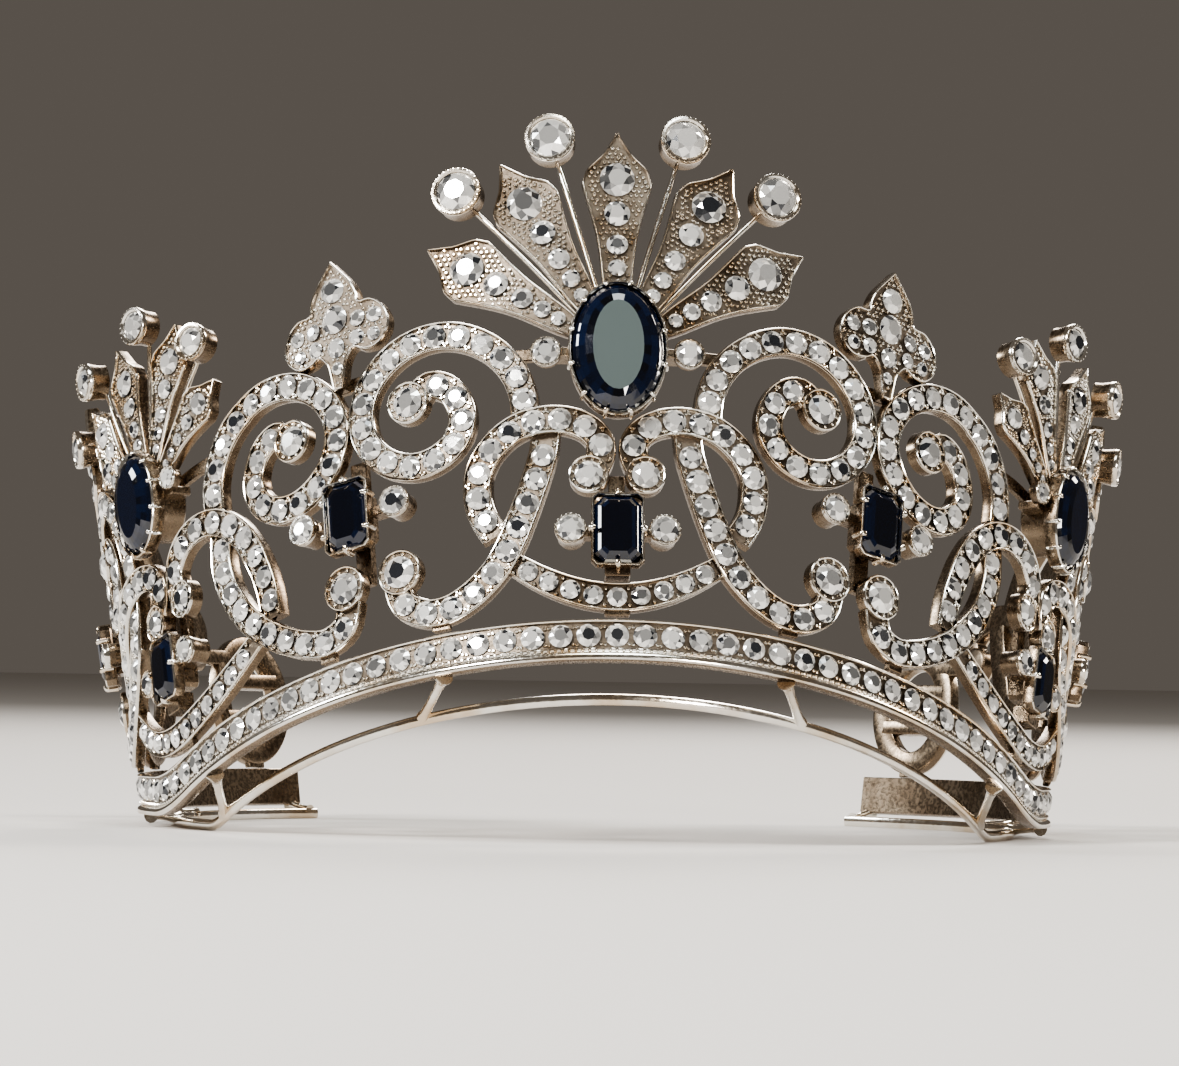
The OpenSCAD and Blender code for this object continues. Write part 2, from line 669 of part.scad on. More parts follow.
module fan_brilliant(side, i) {
    spot = crest_spot(side);
    r = fan_r * spot[2] - 0.75;
    ray = fans(side)[i];
    p = polar(spot[0], spot[1], fan_reach * spot[2] * ray[1], ray[0]);
    color(clear)
    on(p[0], p[1], 4.7) cut_stone(r, r, 1.3, 2.4);
}
module fan_brilliant_centre_1() { fan_brilliant(0, 0); }
module fan_brilliant_centre_2() { fan_brilliant(0, 1); }
module fan_brilliant_centre_3() { fan_brilliant(0, 2); }
module fan_brilliant_centre_4() { fan_brilliant(0, 3); }
module fan_brilliant_left_1() { fan_brilliant(-1, 0); }
module fan_brilliant_left_2() { fan_brilliant(-1, 1); }
module fan_brilliant_left_3() { fan_brilliant(-1, 2); }
module fan_brilliant_left_4() { fan_brilliant(-1, 3); }
module fan_brilliant_right_1() { fan_brilliant(1, 0); }
module fan_brilliant_right_2() { fan_brilliant(1, 1); }
module fan_brilliant_right_3() { fan_brilliant(1, 2); }
module fan_brilliant_right_4() { fan_brilliant(1, 3); }

// Flat-backed brilliants that stand on the small collets.
module flank_brilliants() {
    color(clear) {
        for (side = [-1, 1]) for (i = [0:3]) for (c = [-1, 1])
            if (i > 0 || side > 0)
                on(beside(side * i * half_pitch, oblong_at(i), c * flank_x(i)), oblong_at(i) + 0.3, 4.5 + fit_gap)
                    cut_stone(flank_r * oblong_share[i] * 0.88, flank_r * oblong_share[i] * 0.88, 1, 0);
        for (side = [-1:1]) for (c = [-1, 1])
            let (spot = crest_spot(side), k = spot[2], s = spot[1])
            on(beside(spot[0], s, c * (oval_a + flank_r + flank_gap) * k), s, strand_t + 2.3 + fit_gap)
                cut_stone(flank_r * k * 0.88, flank_r * k * 0.88, 1, 0);
    }
}
base_band();
head_wire();
gallery_centre();
gallery_left();
gallery_right();
gallery_end_left();
gallery_end_right();
leaf_left();
leaf_right();
leaf_rear_left();
leaf_rear_right();
crest_centre();
crest_left();
crest_right();
oblong_setting_centre();
oblong_setting_inner_left();
oblong_setting_inner_right();
oblong_setting_side_left();
oblong_setting_side_right();
oblong_setting_rear_left();
oblong_setting_rear_right();
oval_sapphire_centre();
oval_sapphire_left();
oval_sapphire_right();
oblong_sapphire_centre();
oblong_sapphire_inner_left();
oblong_sapphire_inner_right();
oblong_sapphire_side_left();
oblong_sapphire_side_right();
oblong_sapphire_rear_left();
oblong_sapphire_rear_right();
fan_brilliant_centre_1();
fan_brilliant_centre_2();
fan_brilliant_centre_3();
fan_brilliant_centre_4();
fan_brilliant_left_1();
fan_brilliant_left_2();
fan_brilliant_left_3();
fan_brilliant_left_4();
fan_brilliant_right_1();
fan_brilliant_right_2();
fan_brilliant_right_3();
fan_brilliant_right_4();
flank_brilliants();
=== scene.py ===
"""Looks of the openwork diadem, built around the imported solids.

A place on the front is given as (u, s, o) in millimetres: u runs along the base line from the
middle, s runs up the leaning front, and o stands out from it. The sizes of the diadem are in
millimetres and become metres when a mesh is made. Lights and floor are in metres.
"""

from math import cos, hypot, pi, radians, sin, tau

import bmesh
import bpy
import numpy as np
from mathutils import Matrix, Vector


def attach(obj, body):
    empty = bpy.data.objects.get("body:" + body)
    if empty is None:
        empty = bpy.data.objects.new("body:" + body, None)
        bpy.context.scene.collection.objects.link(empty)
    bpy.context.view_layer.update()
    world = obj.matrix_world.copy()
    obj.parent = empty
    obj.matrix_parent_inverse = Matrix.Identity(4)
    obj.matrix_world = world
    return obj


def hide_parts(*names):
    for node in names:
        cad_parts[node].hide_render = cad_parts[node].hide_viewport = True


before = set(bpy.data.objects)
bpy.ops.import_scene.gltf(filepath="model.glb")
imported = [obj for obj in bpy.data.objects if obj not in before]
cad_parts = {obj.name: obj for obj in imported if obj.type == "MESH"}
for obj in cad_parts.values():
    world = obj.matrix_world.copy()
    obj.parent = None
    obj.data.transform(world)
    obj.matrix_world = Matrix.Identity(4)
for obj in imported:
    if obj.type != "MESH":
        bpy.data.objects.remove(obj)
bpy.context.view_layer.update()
rng = np.random.default_rng(11)
MM = 0.001

# Form. TILT and the names with AZ are degrees, and those with AZ are counted from the middle.
BASE_R = 75
DEPTH_RATIO = 1.15
TILT = 29
FLARE = radians(7.9)
END_AZ = 138
MIDDLE_Y = 9.5
# Where the base line comes down to lie level, and how softly
REST_AZ = 64
REST_RISE = 2.7
REST_SOFT = 3.5
# The stretch over which the front loses most of its lean
FADE_AZ = 45
FADE_SPAN = 60
LEAN_LOSS = 0.9
# The stretch over which the scroll work gets lower
DROP_AZ = 56
DROP_SPAN = 32
SIDE_DROP = 5
# Scroll work
HALF_PITCH = 40.5
GALLERY_LOW = 5.5
GALLERY_H = 46.9
STRAND_W = 4.7
STRAND_T = 2.3
SEAM = 0.12
END_H = 0.47 * GALLERY_H
BOSS_S = GALLERY_LOW + 0.18 * GALLERY_H
JUNCTION_S = GALLERY_LOW + 0.45 * GALLERY_H
COIL_LOW = GALLERY_LOW + 0.63 * GALLERY_H
# The stones on a strand, and the distance between the grains on cut ground
PAVE_PITCH = 4.12
PAVE_R = 1.92
PAVE_LIFT = 1.9
GRAIN_STEP = 0.95
# Base
BAND_TOP = 2
BAND_LOW = -4.9
BAND_T = 1.9
RAIL_LOW = 7
WIRE_R = 70
WIRE_H = 1.8
WIRE_W = 1.3
WIRE_SOFT = 1
# The posts on each side: places in half pitches from the middle, and the one at the end
POST_SHARES = [0.68, 1.85, 2.6, 3.3]
POST_END_AZ = END_AZ - 1.2
POST_LEAN = radians(4.3)
# Crest
OVAL_S = 46.32
OVAL_A = 8
OVAL_B = 11.6
SPEAR_REACH = 38.4
SPEAR_W = 5.7
FAN_REACH = 38.2
FAN_R = 4.1
SIDE_SHARE = 0.78
SIDE_SPIN = 8
SIDE_LOW = 0.6
SIDE_SHIFT = 2.6
# How far the bars behind a crest reach, in half pitches from the middle of its pattern
BAR_SHARE = 0.383
BAR_SIDE_SHARE = 0.33
# Oblong stones
OBLONG_W = 8.4
OBLONG_H = 12.2
OBLONG_LOW = 15.9
OBLONG_HIGH = 24.6
OBLONG_SHARE = [1, 1, 0.9, 0.85]
FLANK_R = 2.55
FLANK_GAP = 0.3
FLANK_ROOM = 1.55
# Leaves
LEAF_S = 58.3
LEAF_SHIFT = 1
LEAF_TAB_DROP = 9.4
REAR_LEAF_SHARE = 0.86

# Half a pattern. across: percent of the half pitch, up: percent of the gallery height,
# rise: how far it stands out, as a share of the strand depth.
ARCH_ROWS = [
    # across, up, rise
    (4.2, 43.5, 0.15),
    (0.6, 50.0, 0.15),
    (0.9, 55.8, 0.15),
    (6.6, 61.0, 0.15),
    (16.2, 63.8, 0.15),
    (26.7, 63.8, 0.15),
    (36.6, 61.0, 0.15),
    (45.3, 54.8, 0.15),
    (50.5, 47.0, 0.10),
    (51.4, 38.9, 0.00),
    (49.5, 31.6, -0.10),
    (44.7, 24.4, -0.20),
]
LIMB_ROWS = [
    # across, up, rise
    (22.8, 59.7, -0.20),
    (23.7, 52.8, -0.10),
    (26.2, 45.4, 0.00),
    (29.5, 37.3, 0.05),
    (33.3, 29.0, 0.10),
    (38.2, 20.0, 0.10),
    (44.8, 11.8, 0.05),
    (54.6, 4.6, 0.02),
    (65.5, 0.5, 0.00),
    (76.0, 0.6, 0.00),
    (85.5, 5.5, 0.00),
    (88.5, 14.5, 0.00),
]
COIL_ROWS = [
    # across, up, rise
    (30.9, 66.7, -0.12),
    (31.8, 74.7, -0.02),
    (35.4, 82.9, -0.02),
    (42.3, 90.6, -0.02),
    (52.0, 96.5, -0.02),
    (63.4, 99.8, -0.02),
    (75.4, 99.3, -0.02),
    (86.2, 95.4, -0.02),
    (95.2, 88.2, -0.02),
    (99.7, 79.3, -0.02),
    (99.4, 70.0, -0.02),
    (94.3, 61.8, -0.02),
    (85.6, 56.0, -0.02),
    (74.8, 54.1, -0.02),
    (64.6, 56.9, -0.02),
    (58.0, 63.4, -0.02),
    (57.0, 71.4, -0.02),
    (61.6, 79.3, -0.02),
    (70.0, 82.6, -0.02),
    (77.0, 78.2, -0.02),
]
# The same two strands beside the side crests, where the limb lies nearer to the leaf's line
ARCH_SIDE_ROWS = ARCH_ROWS[:5] + [
    # across, up, rise
    (26.7, 63.4, 0.15),
    (36.8, 60.2, 0.15),
    (45.8, 54.0, 0.15),
    (52.4, 45.6, 0.10),
    (56.9, 36.5, 0.00),
    (59.2, 27.5, -0.10),
    (59.6, 18.5, -0.20),
]
LIMB_SIDE_ROWS = [
    # across, up, rise
    (33.5, 59.7, -0.20),
    (33.0, 52.5, -0.10),
    (33.2, 45.2, 0.00),
    (35.8, 37.0, 0.05),
    (41.0, 28.5, 0.10),
    (47.8, 20.8, 0.10),
    (56.4, 13.8, 0.05),
    (66.6, 7.6, 0.02),
    (77.6, 2.9, 0.00),
    (88.5, 0.6, 0.00),
    (98.2, 3.6, 0.00),
    (101.5, 12.0, 0.00),
]
# The bosses that end the strands. radius: share of the strand width, proud: over its depth
BOSS_ROWS = [
    # across, up, radius, proud
    (5.2, 43.5, 0.68, 0.50),
    (86.5, 17.0, 0.80, 0.30),
    (79.0, 77.5, 0.76, 0.30),
]
BOSS_SIDE_ROWS = [BOSS_ROWS[0], (100.0, 17.0, 0.80, 0.30), BOSS_ROWS[2]]
# Outline of a spear. along: share of its reach, half: share of its greatest half width
SPEAR_ROWS = [
    # along, half
    (0.13, 0.13),
    (0.29, 0.38),
    (0.53, 0.58),
    (0.77, 1.00),
    (0.83, 0.90),
    (0.90, 0.44),
    (1.00, 0.05),
]
# Stones on a spear. along: share of its reach, radius in millimetres
SPEAR_STONES = [(0.79, 2.85), (0.635, 2.1), (0.495, 1.75), (0.39, 1.45), (0.305, 1.2)]
# Rays of the crests in degrees from upright, with shares of the reach and the width. The rays
# of a side crest run from its front to its back.
SPEAR_RAYS = [
    # turn, reach, width
    (-55.0, 0.95, 1),
    (-28.5, 1.00, 1),
    (0.0, 1.00, 1),
    (28.5, 1.00, 1),
    (55.0, 0.95, 1),
]
SPEAR_SIDE_RAYS = [
    # turn, reach, width
    (-63, 0.76, 0.9),
    (-31, 0.93, 1.0),
    (2, 1.00, 1.0),
    (34, 1.00, 1.0),
    (46, 0.80, 0.8),
]
FAN_RAYS = [
    # turn, reach
    (-40.3, 1),
    (-15.7, 1),
    (15.7, 1),
    (40.3, 1),
]
FAN_SIDE_RAYS = [
    # turn, reach
    (-47, 0.86),
    (-15, 0.97),
    (20, 1.01),
    (48, 1.00),
]
# Right half of the leaf's outline from its tip down, in millimetres from its middle
LEAF_ROWS = [
    # across, up
    (0.0, 11.7),
    (1.7, 9.6),
    (3.4, 7.4),
    (4.4, 5.2),
    (4.7, 3.5),
    (6.9, 3.3),
    (8.9, 1.7),
    (9.9, -0.9),
    (9.3, -3.4),
    (7.3, -5.2),
    (4.9, -5.2),
    (3.2, -4.5),
    (1.8, -6.2),
    (1.3, -8.4),
    (0.9, -10.9),
]
LEAF_STONES = [
    # across, up, radius
    (0.0, 6.5, 2.1),
    (0.0, 1.4, 2.45),
    (4.2, 0.5, 1.45),
    (7.3, 0.3, 1.35),
    (7.0, -3.0, 1.2),
    (3.9, -2.7, 1.35),
    (0.0, -3.6, 1.7),
    (0.0, -7.2, 1.05),
]

# Material slots: polished white metal; side walls and backs in a dark brown metal, painted shade; sunk
# ground between stones and grains in a darker brown metal, painted shade.
METAL, WALL_SHADE, GROUND_SHADE = 0, 1, 2


def both_edges(rows):
    """A cross-section with rows of edge, inset, up and slot, from those of its left edge.

    inset is counted from the edge, up out of the front, and a slot is that of the wall that
    follows the point.
    """
    slots = [WALL_SHADE] + [slot for _, _, slot in rows[:-1]]
    left = [(-1, *row) for row in rows]
    right = [(1, inset, up, slot) for (inset, up, _), slot in zip(rows, slots)]
    return left + right[::-1]


STRAND_PROFILE = both_edges([
    # inset, up, slot
    (0.40, 0.00, WALL_SHADE),
    (0.08, 0.12, WALL_SHADE),
    (0.00, 0.50, WALL_SHADE),
    (0.00, 1.75, METAL),
    (0.06, 2.12, METAL),
    (0.20, 2.28, METAL),
    (0.34, 2.20, METAL),
    (0.42, 1.62, GROUND_SHADE),
])
BAR_PROFILE = both_edges([
    # inset, up, slot
    (0.15, 0.00, WALL_SHADE),
    (0.00, 0.15, WALL_SHADE),
    (0.00, 1.05, WALL_SHADE),
    (0.15, 1.20, WALL_SHADE),
])
# Grains on one side of the gap between two stones. along: the strand, across: share of its width
GAP_GRAINS = [
    # along, across, up, radius
    (-0.32, 0.285, -0.2, 0.36),
    (0.34, 0.300, -0.2, 0.36),
    (0.00, 0.385, -0.1, 0.30),
]
# A post from the head wire up to the band
POST_ROWS = [
    # share of its length, radius
    (0.00, 1.15),
    (0.12, 0.85),
    (0.30, 0.72),
    (0.70, 0.72),
    (0.88, 0.90),
    (1.00, 1.50),
]


def unit(v):
    """v brought to length 1 along its last axis."""
    return v / np.linalg.norm(v, axis=-1, keepdims=True)


def ramp(x):
    """x held between 0 and 1."""
    return np.clip(x, 0, 1)


def swell(x):
    """A soft step from 0 to 1."""
    k = ramp(x)
    return k * k * (3 - 2 * k)


def floor_soft(z, low, d):
    """z kept from going below low, with a soft bend over d to each side of it."""
    bend = low + (z - low + d) ** 2 / (4 * d)
    return np.where(z > low + d, z, np.where(z < low - d, low, bend))


def base_arch(r, t):
    """Height of a tilted ring of radius r at angle t, over its height at REST_AZ."""
    return DEPTH_RATIO * r * sin(radians(TILT)) * (np.cos(t) - cos(radians(REST_AZ)))


def on_front(u, s):
    """The surface that the front lies on, for arrays of u and s."""
    u, s = np.broadcast_arrays(np.asarray(u, float), np.asarray(s, float))
    t = u / BASE_R
    away = np.degrees(np.abs(t))
    out, up = s * sin(FLARE), s * cos(FLARE)
    r = BASE_R + out
    lean = np.radians(TILT * (1 - LEAN_LOSS * ramp((away - FADE_AZ) / FADE_SPAN)))
    drop = SIDE_DROP * swell((away - DROP_AZ) / DROP_SPAN) * ramp(s / GALLERY_H)
    tilt = radians(TILT)
    base = base_arch(BASE_R, t) + RAIL_LOW + REST_RISE
    return np.stack(
        [
            r * np.sin(t),
            MIDDLE_Y - DEPTH_RATIO * cos(tilt) * r * np.cos(t) + up * np.sin(lean),
            floor_soft(base, RAIL_LOW, REST_SOFT)
            + DEPTH_RATIO * sin(tilt) * out * np.cos(t)
            + up * np.cos(lean)
            - drop,
        ],
        -1,
    )


def tangents(u, s):
    """How a place moves in space over one millimetre of u, and over one of s."""
    half = 0.5
    along = on_front(u + half, s) - on_front(u - half, s)
    upward = on_front(u, s + half) - on_front(u, s - half)
    return along, upward


def normal(u, s):
    """The direction straight out of the front."""
    return unit(np.cross(*tangents(np.asarray(u, float), np.asarray(s, float))))


def place(u, s, o=0.0):
    """A place in space, o out from the front."""
    return on_front(u, s) + np.asarray(o, float)[..., None] * normal(u, s)


def beside(u0, s, x):
    """u of a point that lies x to the side of u0 at height s."""
    return u0 + x / np.linalg.norm(tangents(np.asarray(u0, float), s)[0], axis=-1)


def curve(rows, n):
    """A smooth line through rows of numbers, cut into n steps."""
    rows = np.asarray(rows, float)
    last = len(rows) - 1
    x = np.linspace(0, last, n + 1)
    i = np.minimum(np.floor(x).astype(int), last - 1)
    k = (x - i)[:, None]
    a, b, c, d = (rows[np.clip(i + j, 0, last)] for j in (-1, 0, 1, 2))
    return 0.5 * (2 * b + (c - a) * k + (2 * a - 5 * b + 4 * c - d) * k**2 + (3 * b - a - 3 * c + d) * k**3)


def in_half(k, across, up):
    """A place in half pattern number k on the right side, from the shares in the tables."""
    across = np.asarray(across, float) / 100
    s = GALLERY_LOW + np.asarray(up, float) / 100 * GALLERY_H
    flip = k % 2 == 1
    near = (k + (1 - across if flip else across)) * HALF_PITCH
    margin = (STRAND_W / 2 + SEAM / 2) / np.linalg.norm(tangents(near, s)[0], axis=-1)
    x = margin + across * (HALF_PITCH - 2 * margin)
    return k * HALF_PITCH + (HALF_PITCH - x if flip else x), s


def half_path(rows, n, k, side):
    """Path rows of u, s, rise and width share, from a table's rows cut into n steps."""
    line = curve(rows, n)
    u, s = in_half(k, line[:, 0], line[:, 1])
    return np.stack([side * u, s, line[:, 2] * STRAND_T, np.ones(len(u))], -1)


class Spot:
    """A local frame: Y up the front, Z out of it, turned about Z by some radians."""

    def __init__(self, u, s, o=0.0, turn=0.0):
        z = normal(u, s)
        x = unit(np.cross(tangents(np.asarray(u, float), np.asarray(s, float))[1], z))
        y = np.cross(z, x)
        self.origin = place(u, s, o)
        self.axes = np.stack([x * cos(turn) + y * sin(turn), y * cos(turn) - x * sin(turn), z])

    def __call__(self, points):
        return self.origin + np.asarray(points, float) @ self.axes


def new_object(name, data):
    """An object for data, put into the scene."""
    obj = bpy.data.objects.new(name, data)
    bpy.context.scene.collection.objects.link(obj)
    return obj


class Piece:
    """Gathers faces in millimetres and makes them into one object."""

    def __init__(self):
        self.points, self.faces, self.slots, self.tones, self.count = [], [], [], [], 0

    def add(self, points, faces, slots=0, tones=None):
        """Adds faces; slots is one number for all of them, or a number for each."""
        points = np.asarray(points, float).reshape(-1, 3)
        n = self.count
        self.points.append(points)
        self.faces.extend([tuple(i + n for i in f) for f in faces])
        self.slots.extend([slots] * len(faces) if isinstance(slots, int) else slots)
        self.tones.extend([1.0] * len(faces) if tones is None else tones)
        self.count += len(points)

    def make(self, name, materials, slot, replaces=(), smooth=None):
        """Makes the object. smooth: the angle in degrees from which an edge stays sharp."""
        mesh = bpy.data.meshes.new(name)
        mesh.from_pydata((np.vstack(self.points) * MM).tolist(), [], self.faces)
        for material in materials:
            mesh.materials.append(material)
        mesh.polygons.foreach_set("material_index", self.slots)
        tone = mesh.attributes.new("tone", "FLOAT", "FACE")
        tone.data.foreach_set("value", self.tones)
        work = bmesh.new()
        work.from_mesh(mesh)
        bmesh.ops.recalc_face_normals(work, faces=work.faces)
        work.to_mesh(mesh)
        work.free()
        if smooth:
            mesh.shade_smooth()
            mesh.set_sharp_from_angle(angle=radians(smooth))
        obj = new_object(name, mesh)
        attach(obj, "root")
        if replaces:
            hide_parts(*replaces)


def rings_to_faces(n, m, closed=False):
    """Quads between n rings of m points, and the number in its ring of each."""
    quads, index = [], []
    for i in range(n if closed else n - 1):
        for j in range(m):
            a, b = i * m + j, i * m + (j + 1) % m
            c, d = ((i + 1) % n) * m + j, ((i + 1) % n) * m + (j + 1) % m
            quads.append((a, b, d, c))
            index.append(j)
    return quads, index


def end_faces(n, m):
    """The first and the last of n rings of m points, as faces."""
    return [tuple(range(m)), tuple(range((n - 1) * m, n * m))]


def sweep(piece, path, width, profile, closed=False):
    """Runs a cross-section along path rows of u, s, rise and width share."""
    u, s, rise, share = np.asarray(path, float).T
    p, n = place(u, s, rise), normal(u, s)
    ahead = np.roll(p, -1, 0) if closed else np.vstack([p[1:], p[-1:]])
    behind = np.roll(p, 1, 0) if closed else np.vstack([p[:1], p[:-1]])
    side = unit(np.cross(n, ahead - behind))
    half, least = width / 2 * share, 0.03
    edge, inset, up = (np.array([row[i] for row in profile], float) for i in range(3))
    x = edge * np.maximum(half[:, None] - inset, least)
    points = p[:, None] + side[:, None] * x[..., None] + n[:, None] * up[None, :, None]
    m = len(profile)
    quads, index = rings_to_faces(len(u), m, closed)
    slots = [profile[j][3] for j in index]
    if not closed:
        quads += end_faces(len(u), m)
        slots += [WALL_SHADE, WALL_SHADE]
    piece.add(points, quads, slots)


def spots_along(path, pitch, start, end, gaps=False, closed=False):
    """Even steps along a path: (u, s, rise, turn) at the middle of each, or between them.

    start and end are the lengths left bare at the path's ends.
    """
    path = np.asarray(path, float)
    if closed:
        path = np.vstack([path, path[:1]])
    p = place(path[:, 0], path[:, 1], path[:, 2])
    length = np.concatenate([[0], np.cumsum(np.linalg.norm(np.diff(p, axis=0), axis=1))])
    room = length[-1] - start - end
    n = max(1, round(room / pitch))
    where = start + (np.arange(n + 1 if gaps else n) + (0 if gaps else 0.5)) * room / n
    near = 0.4
    found = []
    for w in where:
        u, s, rise = (np.interp(w, length, path[:, i]) for i in range(3))
        u2, s2 = (np.interp(min(w + near, length[-1]), length, path[:, i]) for i in range(2))
        u1, s1 = (np.interp(max(w - near, 0), length, path[:, i]) for i in range(2))
        step = (place(u2, s2) - place(u1, s1)) @ Spot(u, s).axes.T
        found.append((u, s, rise, np.arctan2(step[1], step[0])))
    return found


def ellipse(a, b, n):
    """An outline of n points: a function that gives them for an inset."""
    t = np.arange(n) * tau / n
    return lambda inset: np.stack([(a - inset) * np.cos(t), (b - inset) * np.sin(t)], -1)


def circle(r, n):
    return ellipse(r, r, n)


def oblong(w, h, corner):
    """An outline as ellipse gives it, of a rectangle with cut corners."""

    def at(inset):
        x, y, c = w / 2 - inset, h / 2 - inset, max(0.05, corner - inset * 0.5)
        return np.array([
            (c - x, -y), (x - c, -y), (x, c - y), (x, y - c),
            (x - c, y), (c - x, y), (-x, y - c), (-x, c - y),
        ])

    return at


def stack(piece, at, outline, rows, end_slot=None):
    """Rings of an outline at rows of inset, up and slot.

    Faces of end_slot close both ends. Without one, the last ring joins the first.
    """
    rings = []
    for inset, up, _ in rows:
        flat = outline(inset)
        rings.append(at(np.column_stack([flat, np.full(len(flat), up)])))
    m, n = len(rings[0]), len(rings)
    quads, _ = rings_to_faces(n, m, end_slot is None)
    slots = [rows[i // m][2] for i in range(len(quads))]
    if end_slot is not None:
        quads += end_faces(n, m)
        slots += [end_slot, end_slot]
    piece.add(np.vstack(rings), quads, slots)


def block(piece, at, x, y, w, h, low, high):
    """A box with softened edges, its middle at x, y."""
    soft, corner = 0.15, 0.2
    rows = [(soft, low, WALL_SHADE), (0, low + soft, WALL_SHADE), (0, high - soft, WALL_SHADE), (soft, high, WALL_SHADE)]
    outline = oblong(w, h, corner)
    stack(piece, at, lambda inset: outline(inset) + (x, y), rows, WALL_SHADE)


def upright(piece, u, low, high, w, back, front):
    """A bar of width w up the front, from s = low to high and from o = back to front."""
    block(piece, Spot(u, (low + high) / 2), 0, 0, w, high - low, back, front)


def rod(piece, a, b, r0, r1, n=10):
    """A round rod between two points in space, of radius r0 at a and r1 at b."""
    askew = (0.3, 0.2, 0.9)
    axis = unit(b - a)
    x = unit(np.cross(axis, askew))
    y = np.cross(axis, x)
    t = np.arange(n) * tau / n
    ring = x * np.cos(t)[:, None] + y * np.sin(t)[:, None]
    quads, _ = rings_to_faces(2, n)
    piece.add(np.vstack([a + ring * r0, b + ring * r1]), quads + end_faces(2, n), METAL)


def grain(piece, at, x, y, z, r, n=6):
    """A small round bead of metal that holds a stone."""
    t = np.arange(n) * tau / n
    rings = [(1.0, 0.0), (0.86, 0.5), (0.45, 0.88)]
    local = [
        (x + r * k * c, y + r * k * s, z + r * up)
        for k, up in rings
        for c, s in zip(np.cos(t), np.sin(t))
    ]
    quads, _ = rings_to_faces(len(rings), n)
    piece.add(at(local), quads + end_faces(len(rings), n), METAL)


def ring_of_grains(piece, at, r, size, count, turn):
    for i in range(count):
        a = turn + i * tau / count
        grain(piece, at, r * cos(a), r * sin(a), 0.0, size)


def brilliant(piece, u, s, o, r, crown=0.36, deep=0.12, wobble=4.0):
    """A round stone with table, star, kite and girdle facets, its girdle at height o.

    crown and deep are its heights over and under the girdle as shares of its radius, and
    wobble says in degrees how far it may sit askew.
    """
    n, table, star, star_up = 8, 0.52, 0.77, 0.56
    bottom = 0.12 if deep > 0.4 else 0.7
    at = Spot(u, s, o, rng.uniform(0, tau / n))
    tip = radians(wobble) * rng.normal(size=2) * 0.5
    a, half = np.arange(n) * tau / n, pi / n
    fine = np.arange(2 * n) * half

    def ring(k, t, z):
        return np.stack([k * np.cos(t), k * np.sin(t), np.full(len(t), z)], -1)

    local = np.vstack(
        [
            ring(table, a, crown),
            ring(star, a + half, crown * star_up),
            ring(1, fine, 0.02),
            ring(1, fine, -0.05),
            ring(bottom, fine, -deep),
        ]
    )
    local[:, 2] += local[:, 0] * tip[0] + local[:, 1] * tip[1]
    mid, belt, low, foot = n, 2 * n, 4 * n, 6 * n
    faces = [tuple(range(n))]
    for k in range(n):
        nxt, prev = (k + 1) % n, (k - 1) % n
        g0, g1, g2 = belt + 2 * k, belt + 2 * k + 1, belt + (2 * k + 2) % (2 * n)
        faces += [(k, mid + k, nxt), (k, mid + prev, g0, mid + k), (mid + k, g0, g1), (mid + k, g1, g2)]
    for k in range(2 * n):
        nxt = (k + 1) % (2 * n)
        faces += [(belt + k, low + k, low + nxt, belt + nxt), (low + k, foot + k, foot + nxt, low + nxt)]
    faces.append(tuple(range(foot, foot + 2 * n)))
    # Each facet gets a random tone between dark and white: painted reflections and sparkle.
    piece.add(at(local * r), faces, 0, rng.uniform(0, 1, len(faces)).tolist())


def nearly(r):
    """r, a little larger or smaller."""
    return r * rng.uniform(0.97, 1.03)


def pave(metal, stones, path, width, pitch, r, lift, start, end, closed=False):
    """A row of stones along a strand, with grains at both sides of every gap."""
    for u, s, rise, _ in spots_along(path, pitch, start, end, closed=closed):
        brilliant(stones, u, s, rise + lift, nearly(r))
    for u, s, rise, turn in spots_along(path, pitch, start, end, gaps=True, closed=closed):
        at = Spot(u, s, rise + lift, turn)
        for y in (-1, 1):
            for along, across, up, size in GAP_GRAINS:
                grain(metal, at, along, y * width * across, up, size)


def boss(metal, stones, u, s, r, top):
    """A round boss with a thin rim, one stone and grains about it."""
    rows = [
        # inset, up, slot
        (0.5, 0.1, WALL_SHADE), (0.05, 0.35, WALL_SHADE), (0.0, top - 0.5, METAL), (0.05, top - 0.12, METAL),
        (0.2, top, METAL), (0.36, top - 0.08, METAL), (0.46, top - 0.5, GROUND_SHADE),
    ]
    stack(metal, Spot(u, s), circle(r, 32), rows, GROUND_SHADE)
    stone, rim = r * 0.7, r - 0.4
    brilliant(stones, u, s, top - 0.22, stone, crown=0.34)
    ring_of_grains(metal, Spot(u, s, top - 0.42), (stone + rim) / 2, size=0.36, count=12, turn=0.3)


def foot(piece, u, s, w):
    """A short post from a strand down to the gap over the band."""
    upright(piece, u, BAND_TOP + 0.5, s, w, back=0.3, front=1.5)


def beside_crest(k):
    """Whether half pattern number k is next to a side crest."""
    return k in (1, 2)


def half_scrolls(metal, stones, k, side):
    """The strands, bosses and foot of half pattern number k."""
    wide = beside_crest(k)
    strands = [
        # path, bare at its start, bare at its end
        (half_path(ARCH_SIDE_ROWS if wide else ARCH_ROWS, 48, k, side), 3.3, 0.9),
        (half_path(LIMB_SIDE_ROWS if wide else LIMB_ROWS, 44, k, side), 1.7, 2.3),
        (half_path(COIL_ROWS, 96, k, side), 0.6, 2.8),
    ]
    for path, start, end in strands:
        sweep(metal, path, STRAND_W, STRAND_PROFILE)
        pave(metal, stones, path, STRAND_W, PAVE_PITCH, PAVE_R, PAVE_LIFT, start, end)
    for across, up, radius, proud in BOSS_SIDE_ROWS if wide else BOSS_ROWS:
        u, s = in_half(k, across, up)
        boss(metal, stones, side * float(u), float(s), STRAND_W * radius, STRAND_T + proud)
    foot_across = 88 if wide else 70
    u, s = in_half(k, foot_across, 0)
    foot(metal, side * float(u), float(s) - 1, w=3)


